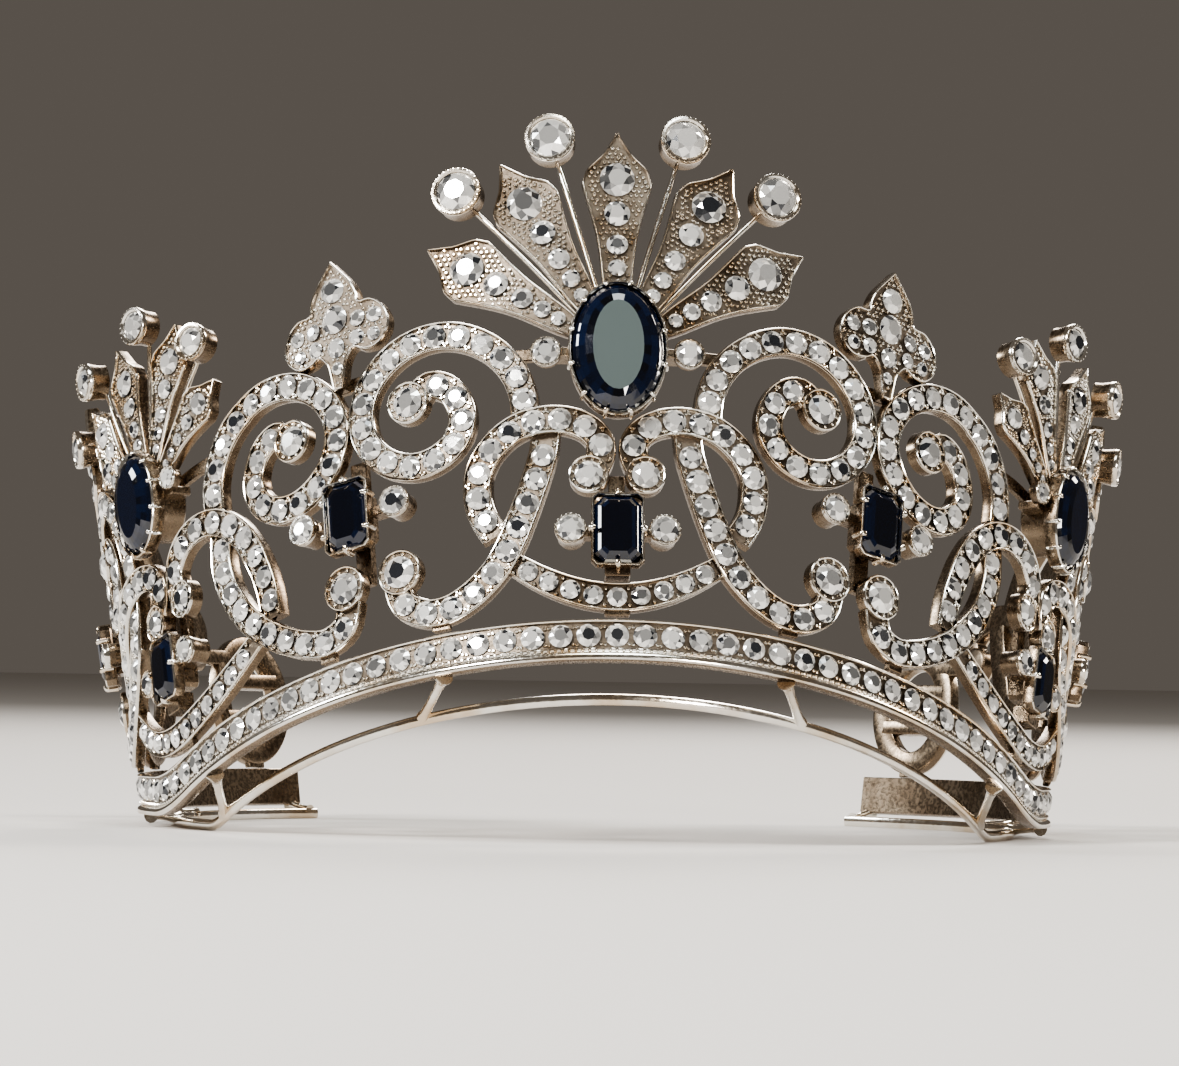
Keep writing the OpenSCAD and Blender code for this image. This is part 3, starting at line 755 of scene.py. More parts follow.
def low_arc(metal, stones, k, side):
    """The low arc that joins the two halves of the pattern on both sides of k half pitches."""
    reach, bend = (0.5, 0.13) if beside_crest(k) else (0.41, 0.154)
    pitch, bare, lift = 3.75, 2.2, 1.95
    x = np.linspace(-1, 1, 31)
    u = side * k * HALF_PITCH + reach * HALF_PITCH * x
    s = GALLERY_LOW + 0.05 + bend * GALLERY_H * x * x
    path = np.stack([u, s, 0 * x - 0.25, 1 - 0.25 * x * x], -1)
    sweep(metal, path, STRAND_W, STRAND_PROFILE)
    for u, s, rise, _ in spots_along(path, pitch, bare, bare):
        brilliant(stones, u, s, rise + lift, 1.6)
    for u, s, rise, turn in spots_along(path, pitch, bare, bare, gaps=True):
        at = Spot(u, s, rise + lift, turn)
        for y in (-1.35, 1.35):
            grain(metal, at, 0, y, z=-0.15, r=0.42)
    foot(metal, side * k * HALF_PITCH, GALLERY_LOW - 1, w=4)


def end_loop(metal, stones, side):
    """The low pierced loop that closes an end, with two rungs and a bridge to the last half."""
    start = side * 4 * HALF_PITCH
    w = radians(END_AZ) * BASE_R - 4 * HALF_PITCH
    mid, half = start + side * w * 0.5, w * 0.5 - 2.1
    share, bar_w, rung_share = 0.85, 2.6, 0.9
    bridge_s, bridge_start, bridge_end = GALLERY_LOW + GALLERY_H * 0.42, -2.6, w * 0.27
    a = np.arange(72) * tau / 72
    u = mid + side * half * np.cos(a)
    s = GALLERY_LOW + END_H * (0.5 + 0.5 * np.sin(a)) - 0.2
    path = np.stack([u, s, 0 * a, 0 * a + share], -1)
    sweep(metal, path, STRAND_W, STRAND_PROFILE, closed=True)
    pave(metal, stones, path, STRAND_W * share, pitch=3.7, r=1.55, lift=1.95, start=0, end=0, closed=True)
    for height in (0.33, 0.67):
        s = GALLERY_LOW + END_H * height
        x = side * half * rung_share * np.linspace(-1, 1, 7)
        rung = np.stack([mid - x, 0 * x + s, 0 * x - 0.1, 0 * x + 1], -1)
        sweep(metal, rung, bar_w, STRAND_PROFILE)
    foot(metal, mid, GALLERY_LOW - 1, w=4)
    x = side * np.linspace(bridge_start, bridge_end, 5)
    bridge = np.stack([start + x, 0 * x + bridge_s, 0 * x, 0 * x + 1], -1)
    low_profile = [(edge, inset, up * 0.75, slot) for edge, inset, up, slot in STRAND_PROFILE]
    sweep(metal, bridge, bar_w, low_profile)


def inset_line(line, d):
    """Moves a counterclockwise outline inwards by d."""
    before, after = np.roll(line, 1, 0), np.roll(line, -1, 0)
    e1, e2 = unit(line - before), unit(after - line)
    n1, n2 = np.stack([-e1[:, 1], e1[:, 0]], -1), np.stack([-e2[:, 1], e2[:, 0]], -1)
    bisect = unit(n1 + n2)
    stretch = np.clip(1 / np.maximum((bisect * n1).sum(-1), 0.3), 1, 2)
    return line + bisect * (d * stretch)[:, None]


def plate(piece, at, outline, low, high, centre):
    """A flat piece with a raised rim and a sunk ground; at turns local x, y and z into space."""
    middle = np.asarray(centre, float)
    inner, sunk = inset_line(outline, 0.4), high - 0.5
    rows = [
        # line, up, slot
        (inset_line(outline, 0.3), low, WALL_SHADE),
        (outline, low + 0.3, WALL_SHADE),
        (outline, high - 0.5, METAL),
        (inset_line(outline, 0.07), high - 0.1, METAL),
        (inset_line(outline, 0.2), high, METAL),
        (inset_line(outline, 0.33), high - 0.1, METAL),
        (inner, sunk, GROUND_SHADE),
        (middle + (inner - middle) * 0.66, sunk, GROUND_SHADE),
        (middle + (inner - middle) * 0.33, sunk, GROUND_SHADE),
    ]
    m = len(outline)
    points = np.vstack([at(np.column_stack([line, np.full(m, z)])) for line, z, _ in rows])
    quads, _ = rings_to_faces(len(rows), m)
    slots = [rows[i // m][2] for i in range(len(quads))]
    caps = at(np.array([[*middle, sunk], [*middle, low]]))
    top, n = (len(rows) - 1) * m, len(points)
    quads += [(top + j, top + (j + 1) % m, n) for j in range(m)]
    quads += [(j, (j + 1) % m, n + 1) for j in range(m)]
    slots += [GROUND_SHADE] * m + [WALL_SHADE] * m
    piece.add(np.vstack([points, caps]), quads, slots)


def inside(line, x, y):
    """Whether x, y lies inside a closed line."""
    hit = False
    for (x0, y0), (x1, y1) in zip(line, np.roll(line, -1, 0)):
        if (y0 > y) != (y1 > y) and x < x0 + (y - y0) / (y1 - y0) * (x1 - x0):
            hit = not hit
    return hit


def fill_with_grains(piece, at, line, stones, z, step, r):
    """Beads on the free ground inside an outline, clear of stones at rows of x, y and radius."""
    row_share, jitter, room = 0.86, 0.12, 0.16
    low, high = line.min(0), line.max(0)
    for i, y in enumerate(np.arange(low[1], high[1], step * row_share)):
        for x in np.arange(low[0] + (i % 2) * step / 2, high[0], step):
            px, py = x + rng.uniform(-jitter, jitter), y + rng.uniform(-jitter, jitter)
            free = all(hypot(px - sx, py - sy) > sr + room for sx, sy, sr in stones)
            if free and inside(line, px, py):
                grain(piece, at, px, py, z, r * rng.uniform(0.8, 1.15))


def leaf(metal, stones, u0, k):
    """A three-lobed leaf with a stem between two coils, and a tab behind them."""

    def at(points):
        points = np.atleast_2d(np.asarray(points, float))
        s = LEAF_S + points[:, 1]
        return place(beside(u0, s, points[:, 0]), s, points[:, 2])

    right = curve(LEAF_ROWS, 56) * (k, 1)
    outline = np.vstack([right[::-1], (right * (-1, 1))[1:]])
    plate(metal, at, outline, low=0.2, high=2.75, centre=(0, -0.6))
    placed = [
        (side * x * k, y, r * (0.5 + 0.5 * k))
        for x, y, r in LEAF_STONES
        for side in ((-1, 1) if x else (1,))
    ]
    for x, y, r in placed:
        s = LEAF_S + y
        brilliant(stones, float(beside(u0, s, x)), s, 2.42, r, wobble=7)
    fill_with_grains(metal, at, inset_line(outline, 0.62), placed, z=2.25, step=GRAIN_STEP, r=0.33)
    back = Spot(u0, LEAF_S - LEAF_TAB_DROP)
    block(metal, back, 0, 0, w=11.0, h=2.2, low=-1.6, high=-0.4)
    block(metal, back, 0, 0, w=1.6, h=1.6, low=-0.6, high=1.2)


def polar(u0, s0, r, turn):
    """u and s of a place r away from u0, s0, turn degrees from upright."""
    s = s0 + r * np.cos(np.radians(turn))
    return beside(u0, s, r * np.sin(np.radians(turn))), s


def crest_spot(side):
    """Middle, height and size of a crest."""
    if side == 0:
        return 0.0, OVAL_S, 1.0
    return side * (2 * HALF_PITCH + SIDE_SHIFT), OVAL_S - SIDE_LOW, SIDE_SHARE


def turned(rays, side):
    """The rays of a side crest as they stand on that side."""
    return [(side * (turn + SIDE_SPIN), *shares) for turn, *shares in rays]


def spear(metal, stones, u0, s0, reach, half, turn, k):
    """A ray that widens outwards, with a row of stones sized by k and grains about them."""
    rise, middle = 0.3, 0.76
    rows = np.array(SPEAR_ROWS)
    lower = curve(rows[:4], 18)
    steps = np.linspace(0, 1, 14)
    upper = np.stack([np.interp(steps, np.linspace(0, 1, 4), rows[3:, i]) for i in (0, 1)], -1)
    line = np.vstack([lower, upper[1:]])
    u, s = polar(u0, s0, line[:, 0] * reach, turn)
    path = np.stack([u, s, np.full(len(u), rise), line[:, 1]], -1)
    sweep(metal, path, half * 2, STRAND_PROFILE)
    placed = []
    for along, r in SPEAR_STONES:
        u, s = polar(u0, s0, along * reach, turn)
        brilliant(stones, float(u), float(s), rise + 1.98, r * k, wobble=5)
        placed.append((0.0, (along - middle) * reach, r * k))
    near, far = polar(u0, s0, middle * reach, turn), polar(u0, s0, (middle + 0.04) * reach, turn)
    span = (place(*far) - place(*near)) @ Spot(*near).axes.T
    across = Spot(*near, turn=np.arctan2(span[1], span[0]) - pi / 2).axes[0]
    width = line[:, 1] * half - 0.7
    keep = width > 0.15
    right = np.stack([width[keep], (line[keep, 0] - middle) * reach], -1)
    outline = np.vstack([right, (right * (-1, 1))[::-1]])

    def at(points):
        points = np.atleast_2d(np.asarray(points, float))
        u, s = polar(u0, s0, middle * reach + points[:, 1], turn)
        return place(u, s, 2.0 + points[:, 2]) + across * points[:, :1]

    fill_with_grains(metal, at, outline, placed, z=0.0, step=GRAIN_STEP * max(k, 0.85), r=0.38)


def collet(metal, u, s, r, low, high, hollow):
    """A round collet with a beaded edge; a hollow one is open behind its stone."""
    at, h = Spot(u, s), high - low
    outer = [
        # inset, up, slot
        (0.45, low, WALL_SHADE), (0.25, low + 0.12, WALL_SHADE), (0.30, low + h * 0.3, WALL_SHADE),
        (0.12, low + h * 0.62, WALL_SHADE), (0.0, low + h * 0.78, METAL), (0.0, high - 0.16, METAL),
        (0.1, high, METAL),
    ]
    if hollow:
        inner = [
            (0.52, high + 0.05, METAL), (0.78, high - 0.2, METAL), (0.86, high - 0.9, WALL_SHADE),
            (1.3, low + h * 0.4, WALL_SHADE), (1.3, low, WALL_SHADE),
        ]
        stack(metal, at, circle(r, 36), outer + inner)
    else:
        inner = [(0.3, high, METAL), (0.44, high - 0.2, METAL)]
        stack(metal, at, circle(r, 30), outer + inner, GROUND_SHADE)
    count = max(16, round(r * 7))
    ring_of_grains(metal, Spot(u, s, high - 0.08), r - 0.2, size=0.17, count=count, turn=0.1)


def claw(metal, at, x, y, turn, low, high, size):
    """A rounded claw that leans over a stone's edge; turn points away from the stone."""
    n = 8
    c, s = cos(turn), sin(turn)
    rows = [
        # out, up, share of the size
        (0.25, low, 0.9), (0.22, high - 0.7, 0.85), (0.05, high - 0.25, 1.0),
        (-0.22, high, 0.9), (-0.36, high + 0.1, 0.45),
    ]
    local = []
    for out, z, k in rows:
        for a in np.arange(n) * tau / n:
            px, py = out + size * k * cos(a), size * k * sin(a)
            local.append((x + px * c - py * s, y + px * s + py * c, z))
    quads, _ = rings_to_faces(len(rows), n)
    metal.add(at(local), quads + end_faces(len(rows), n), METAL)


def fan_collet(metal, fans, u0, s0, k, turn, share):
    """A round collet with its stone, on a pin that comes from under the oval."""
    pin_r, reach = 0.42, FAN_REACH * share
    near = polar(u0, s0, OVAL_B * 0.6 * k, turn)
    edge = polar(u0, s0, (reach - FAN_R + 0.4) * k, turn)
    far = polar(u0, s0, reach * k, turn)
    steps = [tuple(x + (y - x) * i / 6 for x, y in zip(near, edge)) for i in range(7)]
    line = [place(u, s, 1.5) for u, s in steps]
    line.append(place(*far, 2.2))
    for p, q in zip(line, line[1:]):
        rod(metal, p, q, pin_r, pin_r)
    u, s = float(far[0]), float(far[1])
    collet(metal, u, s, FAN_R * k, low=1.4, high=5.3, hollow=True)
    brilliant(fans, u, s, 4.9, FAN_R * k - 0.85, crown=0.34, deep=0.62, wobble=2)


def oval_setting(metal, at, k):
    """The bezel of the oval with its twelve claws, and the narrower ring under it."""
    a, b, top = OVAL_A * k, OVAL_B * k, STRAND_T + 3.2
    bezel = [
        # inset, up, slot
        (0.5, 2.9, WALL_SHADE), (0.1, 3.1, WALL_SHADE), (0.0, 3.6, WALL_SHADE), (0.0, top - 0.25, METAL),
        (0.12, top, METAL), (0.36, top, METAL), (0.5, top - 0.3, METAL), (0.62, top - 1.0, WALL_SHADE),
        (2.4, top - 1.7, WALL_SHADE), (2.4, 2.9, WALL_SHADE),
    ]
    stack(metal, at, ellipse(a, b, 64), bezel)
    under = [
        (0.3, -1.7, WALL_SHADE), (0.0, -1.4, WALL_SHADE), (0.0, 3.1, WALL_SHADE),
        (2.2, 3.1, WALL_SHADE), (2.2, -1.4, WALL_SHADE), (1.9, -1.7, WALL_SHADE),
    ]
    stack(metal, at, ellipse(a - 1.2 * k, b - 3.8 * k, 48), under)
    for i in range(12):
        t = (i + 0.5) * tau / 12
        x, y = (a - 0.25) * cos(t), (b - 0.25) * sin(t)
        claw(metal, at, x, y, np.arctan2(y / b**2, x / a**2), low=3.4, high=top + 0.3, size=0.36)


def crest(metal, stones, fans, side):
    """An oval with spears and round collets about it, and a small collet at each side."""
    u0, s0, k = crest_spot(side)
    for turn, reach, wide in turned(SPEAR_SIDE_RAYS, side) if side else SPEAR_RAYS:
        size = k * min(reach + 0.05, wide)
        spear(metal, stones, u0, s0, SPEAR_REACH * k * reach, SPEAR_W * k * wide, turn, size)
    for turn, share in turned(FAN_SIDE_RAYS, side) if side else FAN_RAYS:
        fan_collet(metal, fans, u0, s0, k, turn, share)
    at = Spot(u0, s0)
    oval_setting(metal, at, k)
    reach = (OVAL_A + FLANK_R + FLANK_GAP) * k
    bar_share = BAR_SIDE_SHARE if side else BAR_SHARE
    for c in (-1, 1):
        block(metal, at, c * reach * 0.75, 0, w=reach * 0.5, h=1.4, low=-0.7, high=3.0)
        end = (2 * side + c * bar_share) * HALF_PITCH
        u = np.linspace(u0 + c * 4 * k, end, 7)
        bar = np.stack([u, 0 * u + s0 + 1.6 * k, 0 * u - 1.7, 0 * u + 1], -1)
        sweep(metal, bar, 2.0, BAR_PROFILE)
        far = float(beside(u0, s0, c * reach))
        collet(metal, far, s0, FLANK_R * k, low=STRAND_T + 0.3, high=STRAND_T + 2.3, hollow=False)
        brilliant(stones, far, s0, STRAND_T + 2.1, FLANK_R * k - 0.42)


def under_crest(i):
    """Whether oblong number i from the middle sits under a crest; the others sit under leaves."""
    return i % 2 == 0


def oblong_at(i):
    return OBLONG_LOW if under_crest(i) else OBLONG_HIGH


def oblong_setting(metal, stones, i, side):
    """An oblong basket with claws, a small collet at each side, and the bars that carry it."""
    u0, s0, k = side * i * HALF_PITCH, oblong_at(i), OBLONG_SHARE[i]
    w, h, base = OBLONG_W * k, OBLONG_H * k, STRAND_T + 0.3
    at = Spot(u0, s0)
    basket = [
        # inset, up, slot
        (0.25, base, WALL_SHADE), (0.0, base + 0.25, WALL_SHADE), (0.0, base + 1.95, METAL),
        (0.1, base + 2.15, METAL), (0.3, base + 2.15, METAL), (0.42, base + 1.9, METAL),
        (0.5, base + 1.0, WALL_SHADE), (1.9, base + 0.4, WALL_SHADE), (1.9, base, WALL_SHADE),
    ]
    stack(metal, at, oblong(w, h, 0.9), basket)
    under = [
        (0.2, -0.6, WALL_SHADE), (0.0, -0.4, WALL_SHADE), (0.0, base + 0.3, WALL_SHADE),
        (0.8, base + 0.3, WALL_SHADE), (0.8, -0.6, WALL_SHADE),
    ]
    stack(metal, at, oblong(w - 2.4, h - 4, 0.6), under)
    claws = [
        # share of the width, share of the height, turn
        (0, 0.5, pi / 2),
        (0, -0.5, -pi / 2),
    ]
    for y in [0] if under_crest(i) else [0.24, -0.24]:
        claws += [(0.5, y, 0.0), (-0.5, y, pi)]
    for x, y, turn in claws:
        claw(metal, at, x * (w - 0.1), y * (h - 0.1), turn, low=base + 0.4, high=base + 2.75, size=0.46)
    reach = (OBLONG_W / 2 + FLANK_R + (FLANK_GAP if under_crest(i) else FLANK_ROOM)) * k
    for c in (-1, 1):
        block(metal, at, c * (w / 2 + reach) / 2, 0, w=reach - w / 2 + 1, h=1.6, low=0.5, high=3.1)
        far = float(beside(u0, s0, c * reach))
        collet(metal, far, s0 + 0.3, FLANK_R * k, low=0.3, high=4.5, hollow=False)
        brilliant(stones, far, s0 + 0.3, 4.3, FLANK_R * k - 0.42)
    if under_crest(i):
        upright(metal, u0, GALLERY_LOW + STRAND_W / 2 + 0.6, s0 - h / 2 + 1.1, w=4, back=0.4, front=3.4)
        upright(metal, u0, s0 + h / 2 - 3.4, JUNCTION_S, w=2.6, back=-1.5, front=-0.2)
    else:
        upright(metal, u0, BOSS_S, COIL_LOW, w=3, back=-1.6, front=-0.2)


def faceted(piece, at, rings, z_tones):
    """Joins rings of equal length into a closed stone; each band of facets has its own tones, painted
    reflections.
    """
    m = len(rings[0])
    quads, _ = rings_to_faces(len(rings), m)
    drift, back_tone = 0.25, 0.1
    tones = [float(np.clip(z_tones[i // m] + rng.uniform(-drift, drift), 0, 1)) for i in range(len(quads))]
    quads += end_faces(len(rings), m)
    piece.add(at(np.vstack(rings)), quads, 0, tones + [back_tone, z_tones[-1]])


def oval_sapphire(piece, side):
    """The oval stone of a crest. The middle one has a pale table, a painted reflection."""
    n = 32
    u0, s0, k = crest_spot(side)
    a, b = OVAL_A * k - 0.72, OVAL_B * k - 0.72
    at = Spot(u0, s0, STRAND_T + 2.5)
    # The tones are painted reflections; a tone of 1.0 gives the middle oval's table the pale top colour.
    rows = [
        # inset, up, tone
        (a * 0.72, -1.05, 0.3),
        (a * 0.35, -0.75, 0.3),
        (0.0, -0.05, 0.2),
        (0.0, 0.1, 0.25),
        (0.9 * k, 0.95, 0.4),
        (2.0 * k, 1.55, 0.2),
        (3.2 * k, 1.9, 1.0 if side == 0 else 0.3),
    ]
    shape = ellipse(a, b, n)
    rings = [np.column_stack([shape(inset), np.full(n, z)]) for inset, z, _ in rows]
    faceted(piece, at, rings, [row[2] for row in rows])


def oblong_sapphire(piece, i, side):
    """The step-cut stone of oblong setting number i."""
    k = OBLONG_SHARE[i]
    w, h = OBLONG_W * k - 1.1, OBLONG_H * k - 1.1
    at = Spot(side * i * HALF_PITCH, oblong_at(i), STRAND_T + 1.7)
    # The tones are painted reflections, darkest on the table.
    rows = [
        # inset, up, tone
        (w * 0.36, -0.78, 0.3),
        (0.0, -0.05, 0.2),
        (0.0, 0.1, 0.4),
        (0.45, 0.62, 0.25),
        (0.95, 1.1, 0.3),
        (1.5, 1.42, 0.1),
    ]
    shape = oblong(w, h, 1.5)
    rings = [np.column_stack([shape(inset), np.full(8, z)]) for inset, z, _ in rows]
    faceted(piece, at, rings, [row[2] for row in rows])


def band(metal, stones):
    """The base band: rim, stone row, bead line and smooth lip."""
    profile = [
        # s, o, slot
        (BAND_LOW + 0.2, -0.3, WALL_SHADE), (BAND_TOP - 0.2, -0.3, WALL_SHADE), (BAND_TOP, -0.1, METAL),
        (BAND_TOP, 1.2, METAL), (BAND_TOP - 0.12, 1.52, METAL), (BAND_TOP - 0.3, 1.6, METAL),
        (BAND_TOP - 0.5, 1.5, METAL), (BAND_TOP - 0.62, 1.1, GROUND_SHADE), (-2.75, 1.1, METAL),
        (-2.85, 1.45, METAL), (-3.1, 1.58, METAL), (-3.35, 1.45, METAL), (-3.5, 1.5, METAL),
        (-3.75, 2.05, METAL), (-4.0, 2.25, METAL), (-4.6, 2.27, METAL), (BAND_LOW + 0.08, 2.15, METAL),
        (BAND_LOW, BAND_T, WALL_SHADE), (BAND_LOW, 0.0, WALL_SHADE),
    ]
    end = radians(END_AZ) * BASE_R
    u = np.linspace(-end, end, 241)
    s, o = (np.array([row[i] for row in profile]) for i in range(2))
    points = place(u[:, None], s[None], np.broadcast_to(o, (len(u), len(o))))
    quads, index = rings_to_faces(len(u), len(profile))
    slots = [profile[j][2] for j in index] + [WALL_SHADE, WALL_SHADE]
    metal.add(points, quads + end_faces(len(u), len(profile)), slots)
    pitch, bare = 4.35, 0.7
    stone_line = np.stack([u, 0 * u - 0.72, 0 * u, 0 * u + 1], -1)
    for x, y, _, _ in spots_along(stone_line, pitch, bare, bare):
        brilliant(stones, x, y, 1.3, nearly(1.9))
    for x, y, _, turn in spots_along(stone_line, pitch, bare, bare, gaps=True):
        at = Spot(x, y, 1.15, turn)
        for c in (-1, 1):
            grain(metal, at, -0.3, c * 1.35, 0.0, 0.36)
            grain(metal, at, 0.34, c * 1.45, 0.0, 0.36)
    bead_line = np.stack([u, 0 * u - 3.1, 0 * u, 0 * u + 1], -1)
    for x, y, _, turn in spots_along(bead_line, 1.05, 0.5, 0.5):
        grain(metal, Spot(x, y, 1.46, turn), 0, 0, 0, 0.34)


def on_wire(t, r, up):
    """A place at angle t on the head wire, at radius r and up from its underside."""
    t = np.asarray(t, float)
    y = MIDDLE_Y - DEPTH_RATIO * cos(radians(TILT)) * r * np.cos(t)
    z = floor_soft(base_arch(WIRE_R, t), 0, WIRE_SOFT) + up
    return np.stack([r * np.sin(t), y, z], -1)


def head_wire(metal):
    """The wire that the object stands on, and the posts from it up to the band."""
    half = WIRE_W / 2
    outer = [
        # out, up
        (0.3, 0.0), (0.55, 0.2), (half, 0.6), (half, 1.2), (0.52, 1.62), (0.2, WIRE_H),
    ]
    section = outer + [(-out, up) for out, up in outer[::-1]]
    t = np.linspace(-radians(END_AZ), radians(END_AZ), 201)
    points = np.stack([on_wire(t, WIRE_R + out, up) for out, up in section], 1)
    quads, _ = rings_to_faces(len(t), len(section))
    metal.add(points, quads + end_faces(len(t), len(section)), METAL)
    posts = [(share * HALF_PITCH, POST_LEAN) for share in POST_SHARES]
    posts.append((radians(POST_END_AZ) * BASE_R, 0))
    for side in (-1, 1):
        for u, lean in posts:
            a = on_wire(side * (u / BASE_R + lean), WIRE_R, 1.3)
            b = place(side * u, BAND_LOW - 0.05, 0.7)
            for (k0, r0), (k1, r1) in zip(POST_ROWS, POST_ROWS[1:]):
                rod(metal, a + (b - a) * k0, a + (b - a) * k1, r0, r1, 12)


def value_node(nodes, kind, **inputs):
    """A node with some inputs set; a low line in a name stands for a space."""
    node = nodes.new(kind)
    for key, value in inputs.items():
        node.inputs[key.replace("_", " ")].default_value = value
    return node


def new_material(name):
    """A material, its nodes, its links and its shader."""
    material = bpy.data.materials.new(name)
    material.use_nodes = True
    nodes = material.node_tree.nodes
    return material, nodes, material.node_tree.links, nodes["Principled BSDF"]


def colour_ramp(nodes, *stops):
    """A colour ramp through stops of position and colour."""
    node = nodes.new("ShaderNodeValToRGB")
    elements = node.color_ramp.elements
    for i, (position, colour) in enumerate(stops):
        element = elements[i] if i < 2 else elements.new(position)
        element.position = position
        element.color = (*colour, 1)
    return node


def metal_material(name, light, warm, rough, bump, warm_share):
    """Metal whose tone drifts to a warmer one, with fine wear in gloss and height."""
    material, nodes, links, shader = new_material(name)
    where = nodes.new("ShaderNodeTexCoord")
    broad = value_node(nodes, "ShaderNodeTexNoise", Scale=70.0, Detail=4.0, Roughness=0.6)
    fine = value_node(nodes, "ShaderNodeTexNoise", Scale=1400.0, Detail=3.0, Roughness=0.6)
    for node in (broad, fine):
        links.new(where.outputs["Object"], node.inputs["Vector"])
    tint = colour_ramp(nodes, (0.5 - warm_share, warm), (0.56, light))
    links.new(broad.outputs["Fac"], tint.inputs["Fac"])
    links.new(tint.outputs["Color"], shader.inputs["Base Color"])
    gloss = value_node(
        nodes, "ShaderNodeMapRange", From_Min=0.3, From_Max=0.7, To_Min=rough * 0.7, To_Max=rough * 1.5
    )
    links.new(fine.outputs["Fac"], gloss.inputs["Value"])
    links.new(gloss.outputs["Result"], shader.inputs["Roughness"])
    relief = value_node(nodes, "ShaderNodeBump", Strength=bump, Distance=0.00005)
    links.new(fine.outputs["Fac"], relief.inputs["Height"])
    links.new(relief.outputs["Normal"], shader.inputs["Normal"])
    shader.inputs["Metallic"].default_value = 1.0
    return material


def stone_material(name, dark, light, metallic, rough, ior, spread, top=None):
    """A cut stone: each facet keeps a fixed tone, painted reflections and sparkle, and each stone drifts a
    little in colour.
    """
    material, nodes, links, shader = new_material(name)
    tone = nodes.new("ShaderNodeAttribute")
    tone.attribute_name = "tone"
    shades = colour_ramp(nodes, (0.05, dark), (spread, light), *([(1.0, top)] if top else []))
    links.new(tone.outputs["Fac"], shades.inputs["Fac"])
    geometry = nodes.new("ShaderNodeNewGeometry")
    shift = value_node(nodes, "ShaderNodeMapRange", To_Min=0.8, To_Max=1.12)
    drift = nodes.new("ShaderNodeHueSaturation")
    links.new(geometry.outputs["Random Per Island"], shift.inputs["Value"])
    links.new(shift.outputs["Result"], drift.inputs["Value"])
    links.new(shades.outputs["Color"], drift.inputs["Color"])
    links.new(drift.outputs["Color"], shader.inputs["Base Color"])
    shader.inputs["Metallic"].default_value = metallic
    shader.inputs["Roughness"].default_value = rough
    shader.inputs["IOR"].default_value = ior
    return material


white = metal_material(
    "polished_white_metal", light=(0.88, 0.85, 0.79), warm=(0.70, 0.58, 0.44),
    rough=0.14, bump=0.25, warm_share=0.12,
)
# Side walls, backs and undersides: the same white metal darkened to warm brown, painted shade.
wall = metal_material(
    "shaded_white_metal", light=(0.25, 0.195, 0.14), warm=(0.165, 0.12, 0.082),
    rough=0.24, bump=0.3, warm_share=0.1,
)
# Sunk ground between stones and grains: white metal darkened to deep brown, painted shade in the recesses;
# its roughness and bump are the cut finish.
ground = metal_material(
    "cut_ground_painted_shade", light=(0.20, 0.165, 0.13), warm=(0.08, 0.06, 0.042),
    rough=0.38, bump=0.8, warm_share=0.1,
)
METALS = [white, wall, ground]
SHARP_ANGLE = 38
# Clear stones: facets from near-black to white, painted reflections and sparkle.
clear = stone_material(
    "clear_stone", dark=(0.04, 0.044, 0.052), light=(1.0, 0.99, 0.96),
    metallic=0.55, rough=0.06, ior=2.2, spread=0.66,
)
# Dark blue stones; the pale grey-teal top colour is a painted reflection on the middle oval's table.
blue = stone_material(
    "dark_blue_stone", dark=(0.0004, 0.001, 0.003), light=(0.0015, 0.0065, 0.025),
    metallic=0.0, rough=0.04, ior=1.77, spread=0.6, top=(0.090, 0.113, 0.112),
)


def make_pair(name, node, build, *given):
    """Metal that stands for a node, and the small stones set in it."""
    metal, stones = Piece(), Piece()
    build(metal, stones, *given)
    metal.make(name, METALS, "white_metal", [node], smooth=SHARP_ANGLE)
    stones.make(name + "_stones", [clear], "brilliant")


def make_gem(name, node, build, *given):
    """A large blue stone that stands for a node."""
    gem = Piece()
    build(gem, *given)
    gem.make(name, [blue], "sapphire", [node])


def centre_scrolls(metal, stones):
    half_scrolls(metal, stones, 0, -1)
    half_scrolls(metal, stones, 0, 1)
    low_arc(metal, stones, 0, 1)


def side_scrolls(metal, stones, side):
    half_scrolls(metal, stones, 1, side)
    half_scrolls(metal, stones, 2, side)
    low_arc(metal, stones, 2, side)


def end_scrolls(metal, stones, side):
    half_scrolls(metal, stones, 3, side)
    end_loop(metal, stones, side)


make_pair("band_metal", "base_band", band)
wire = Piece()
head_wire(wire)
wire.make("wire_metal", METALS, "white_metal", ["head_wire"], smooth=SHARP_ANGLE)
make_pair("scrolls_centre", "gallery_centre", centre_scrolls)
for side, word in ((-1, "left"), (1, "right")):
    make_pair("scrolls_" + word, "gallery_" + word, side_scrolls, side)
    make_pair("scrolls_end_" + word, "gallery_end_" + word, end_scrolls, side)
    make_pair("leaf_metal_" + word, "leaf_" + word, leaf, side * (HALF_PITCH + LEAF_SHIFT), 1)
    make_pair("leaf_metal_rear_" + word, "leaf_rear_" + word, leaf, side * 3 * HALF_PITCH, REAR_LEAF_SHARE)
fans = Piece()
for side, word in ((-1, "left"), (0, "centre"), (1, "right")):
    make_pair("crest_metal_" + word, "crest_" + word, crest, fans, side)
    make_gem("oval_stone_" + word, "oval_sapphire_" + word, oval_sapphire, side)
fan_nodes = [f"fan_brilliant_{word}_{i}" for word in ("left", "centre", "right") for i in range(1, 5)]
fans.make("fan_stones", [clear], "brilliant", fan_nodes + ["flank_brilliants"])
for i, word in enumerate(("centre", "inner", "side", "rear")):
    for side, ending in [(1, "")] if i == 0 else [(-1, "_left"), (1, "_right")]:
        end = word + ending
        make_pair("basket_" + end, "oblong_setting_" + end, oblong_setting, i, side)
        make_gem("oblong_stone_" + end, "oblong_sapphire_" + end, oblong_sapphire, i, side)

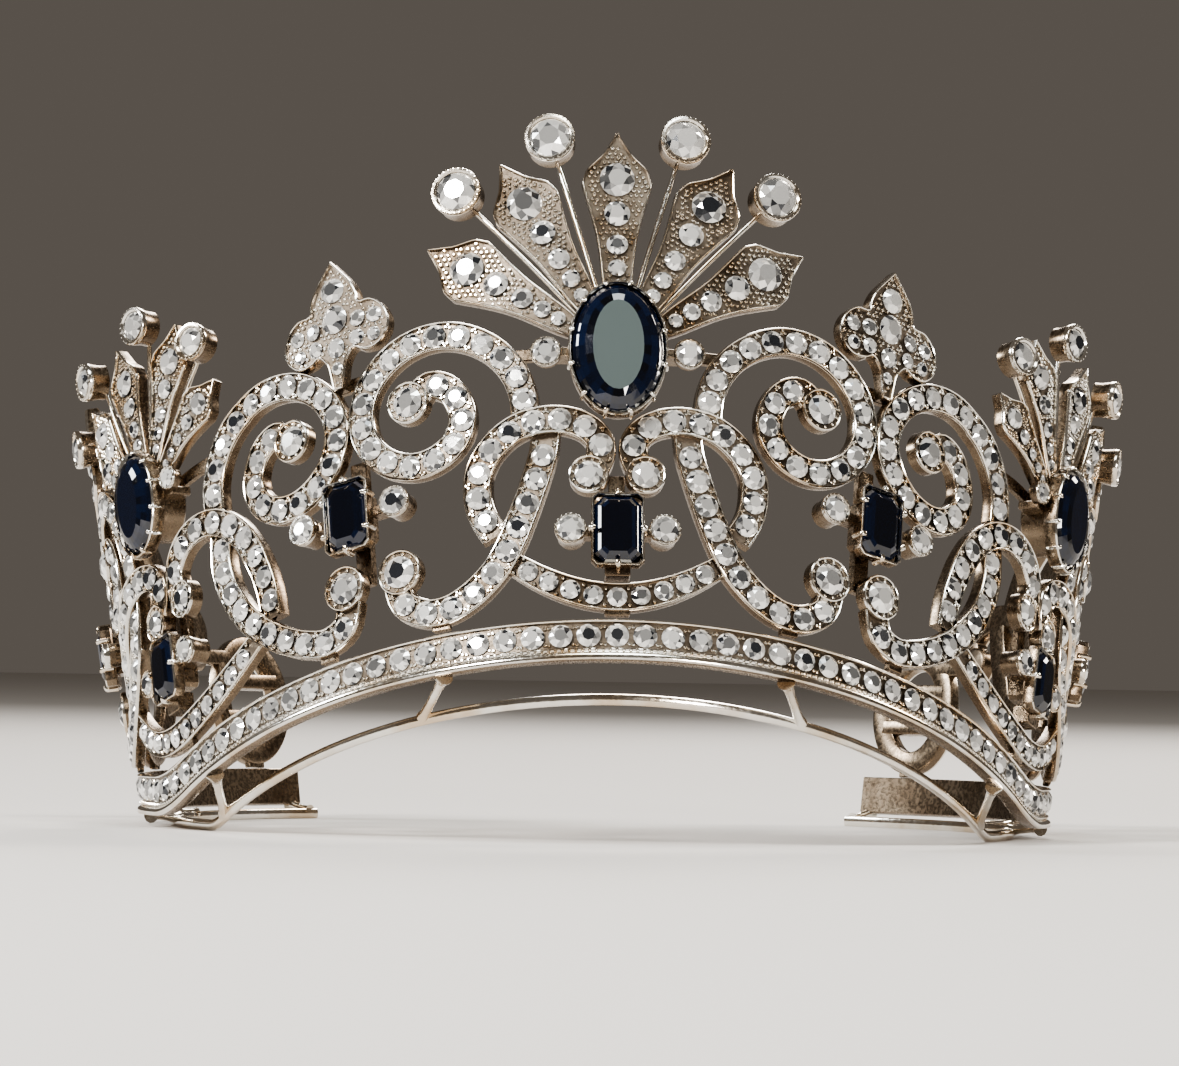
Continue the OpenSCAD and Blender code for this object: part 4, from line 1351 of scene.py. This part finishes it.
# Round lights that all look at the middle of the object
AIM = (0, 0, 0.06)
LIGHTS = [
    # name, place, size, watts, colour
    ("key", (-0.75, -0.75, 0.85), 0.34, 18, (1.0, 0.98, 0.95)),
    ("top_front", (0.05, -0.62, 1.3), 0.6, 8, (0.95, 1.0, 0.99)),
    ("front", (0.55, -1.25, 0.30), 0.28, 7, (1.0, 0.97, 0.93)),
    ("right", (1.0, 0.45, 0.75), 0.35, 8, (1.0, 0.93, 0.85)),
    ("left", (-1.1, 0.1, 0.6), 0.35, 8, (0.95, 0.98, 1.0)),
    ("back", (0.2, 1.1, 0.9), 0.6, 12, (1.0, 0.97, 0.93)),
]
for name, spot, size, watts, colour in LIGHTS:
    light_data = bpy.data.lights.new(name, "AREA")
    light_data.shape = "DISK"
    light_data.size = size
    light_data.energy = watts
    light_data.color = colour
    light = new_object(name, light_data)
    light.location = spot
    light.rotation_euler = (Vector(AIM) - Vector(spot)).to_track_quat("-Z", "Y").to_euler()

world = bpy.data.worlds.new("soft_room")
bpy.context.scene.world = world
world.use_nodes = True
sky = world.node_tree.nodes["Background"]
sky.inputs["Color"].default_value = (0.52, 0.46, 0.40, 1)
sky.inputs["Strength"].default_value = 0.22
bpy.context.scene.view_settings.look = "AgX - Medium High Contrast"

FLOOR_REACH = 4.0
corners = [(x * FLOOR_REACH, y * FLOOR_REACH, 0) for x, y in ((-1, -1), (1, -1), (1, 1), (-1, 1))]
floor_mesh = bpy.data.meshes.new("floor")
floor_mesh.from_pydata(corners, [], [(0, 1, 2, 3)])
floor = new_object("floor", floor_mesh)
paper, _, _, paper_shader = new_material("pale_paper")
paper_shader.inputs["Base Color"].default_value = (0.66, 0.63, 0.60, 1)
paper_shader.inputs["Roughness"].default_value = 0.85
floor_mesh.materials.append(paper)

# The camera looks at the front from over a metre away. Its place is in millimetres, from the
# middle of the base line's ring and up from the floor. PX: focal length and frame width in pixels
CAMERA_AT = (-46, -1099, 32.07)
YAW, PITCH, ROLL = radians(2.32), radians(0.943), radians(0.92)
FOCAL_PX = 6528
FRAME_PX = 1179
SENSOR = 36
camera_data = bpy.data.cameras.new("camera")
camera_data.sensor_width = SENSOR
camera_data.lens = FOCAL_PX / FRAME_PX * SENSOR
camera_data.clip_start = 0.05
camera_data.clip_end = 20
camera = new_object("camera", camera_data)
camera.location = (CAMERA_AT[0] * MM, (CAMERA_AT[1] + MIDDLE_Y) * MM, CAMERA_AT[2] * MM)
turns = (
    Matrix.Rotation(-YAW, 3, "Z")
    @ Matrix.Rotation(pi / 2 + PITCH, 3, "X")
    @ Matrix.Rotation(ROLL, 3, "Z")
)
camera.rotation_euler = turns.to_euler()
bpy.context.scene.camera = camera
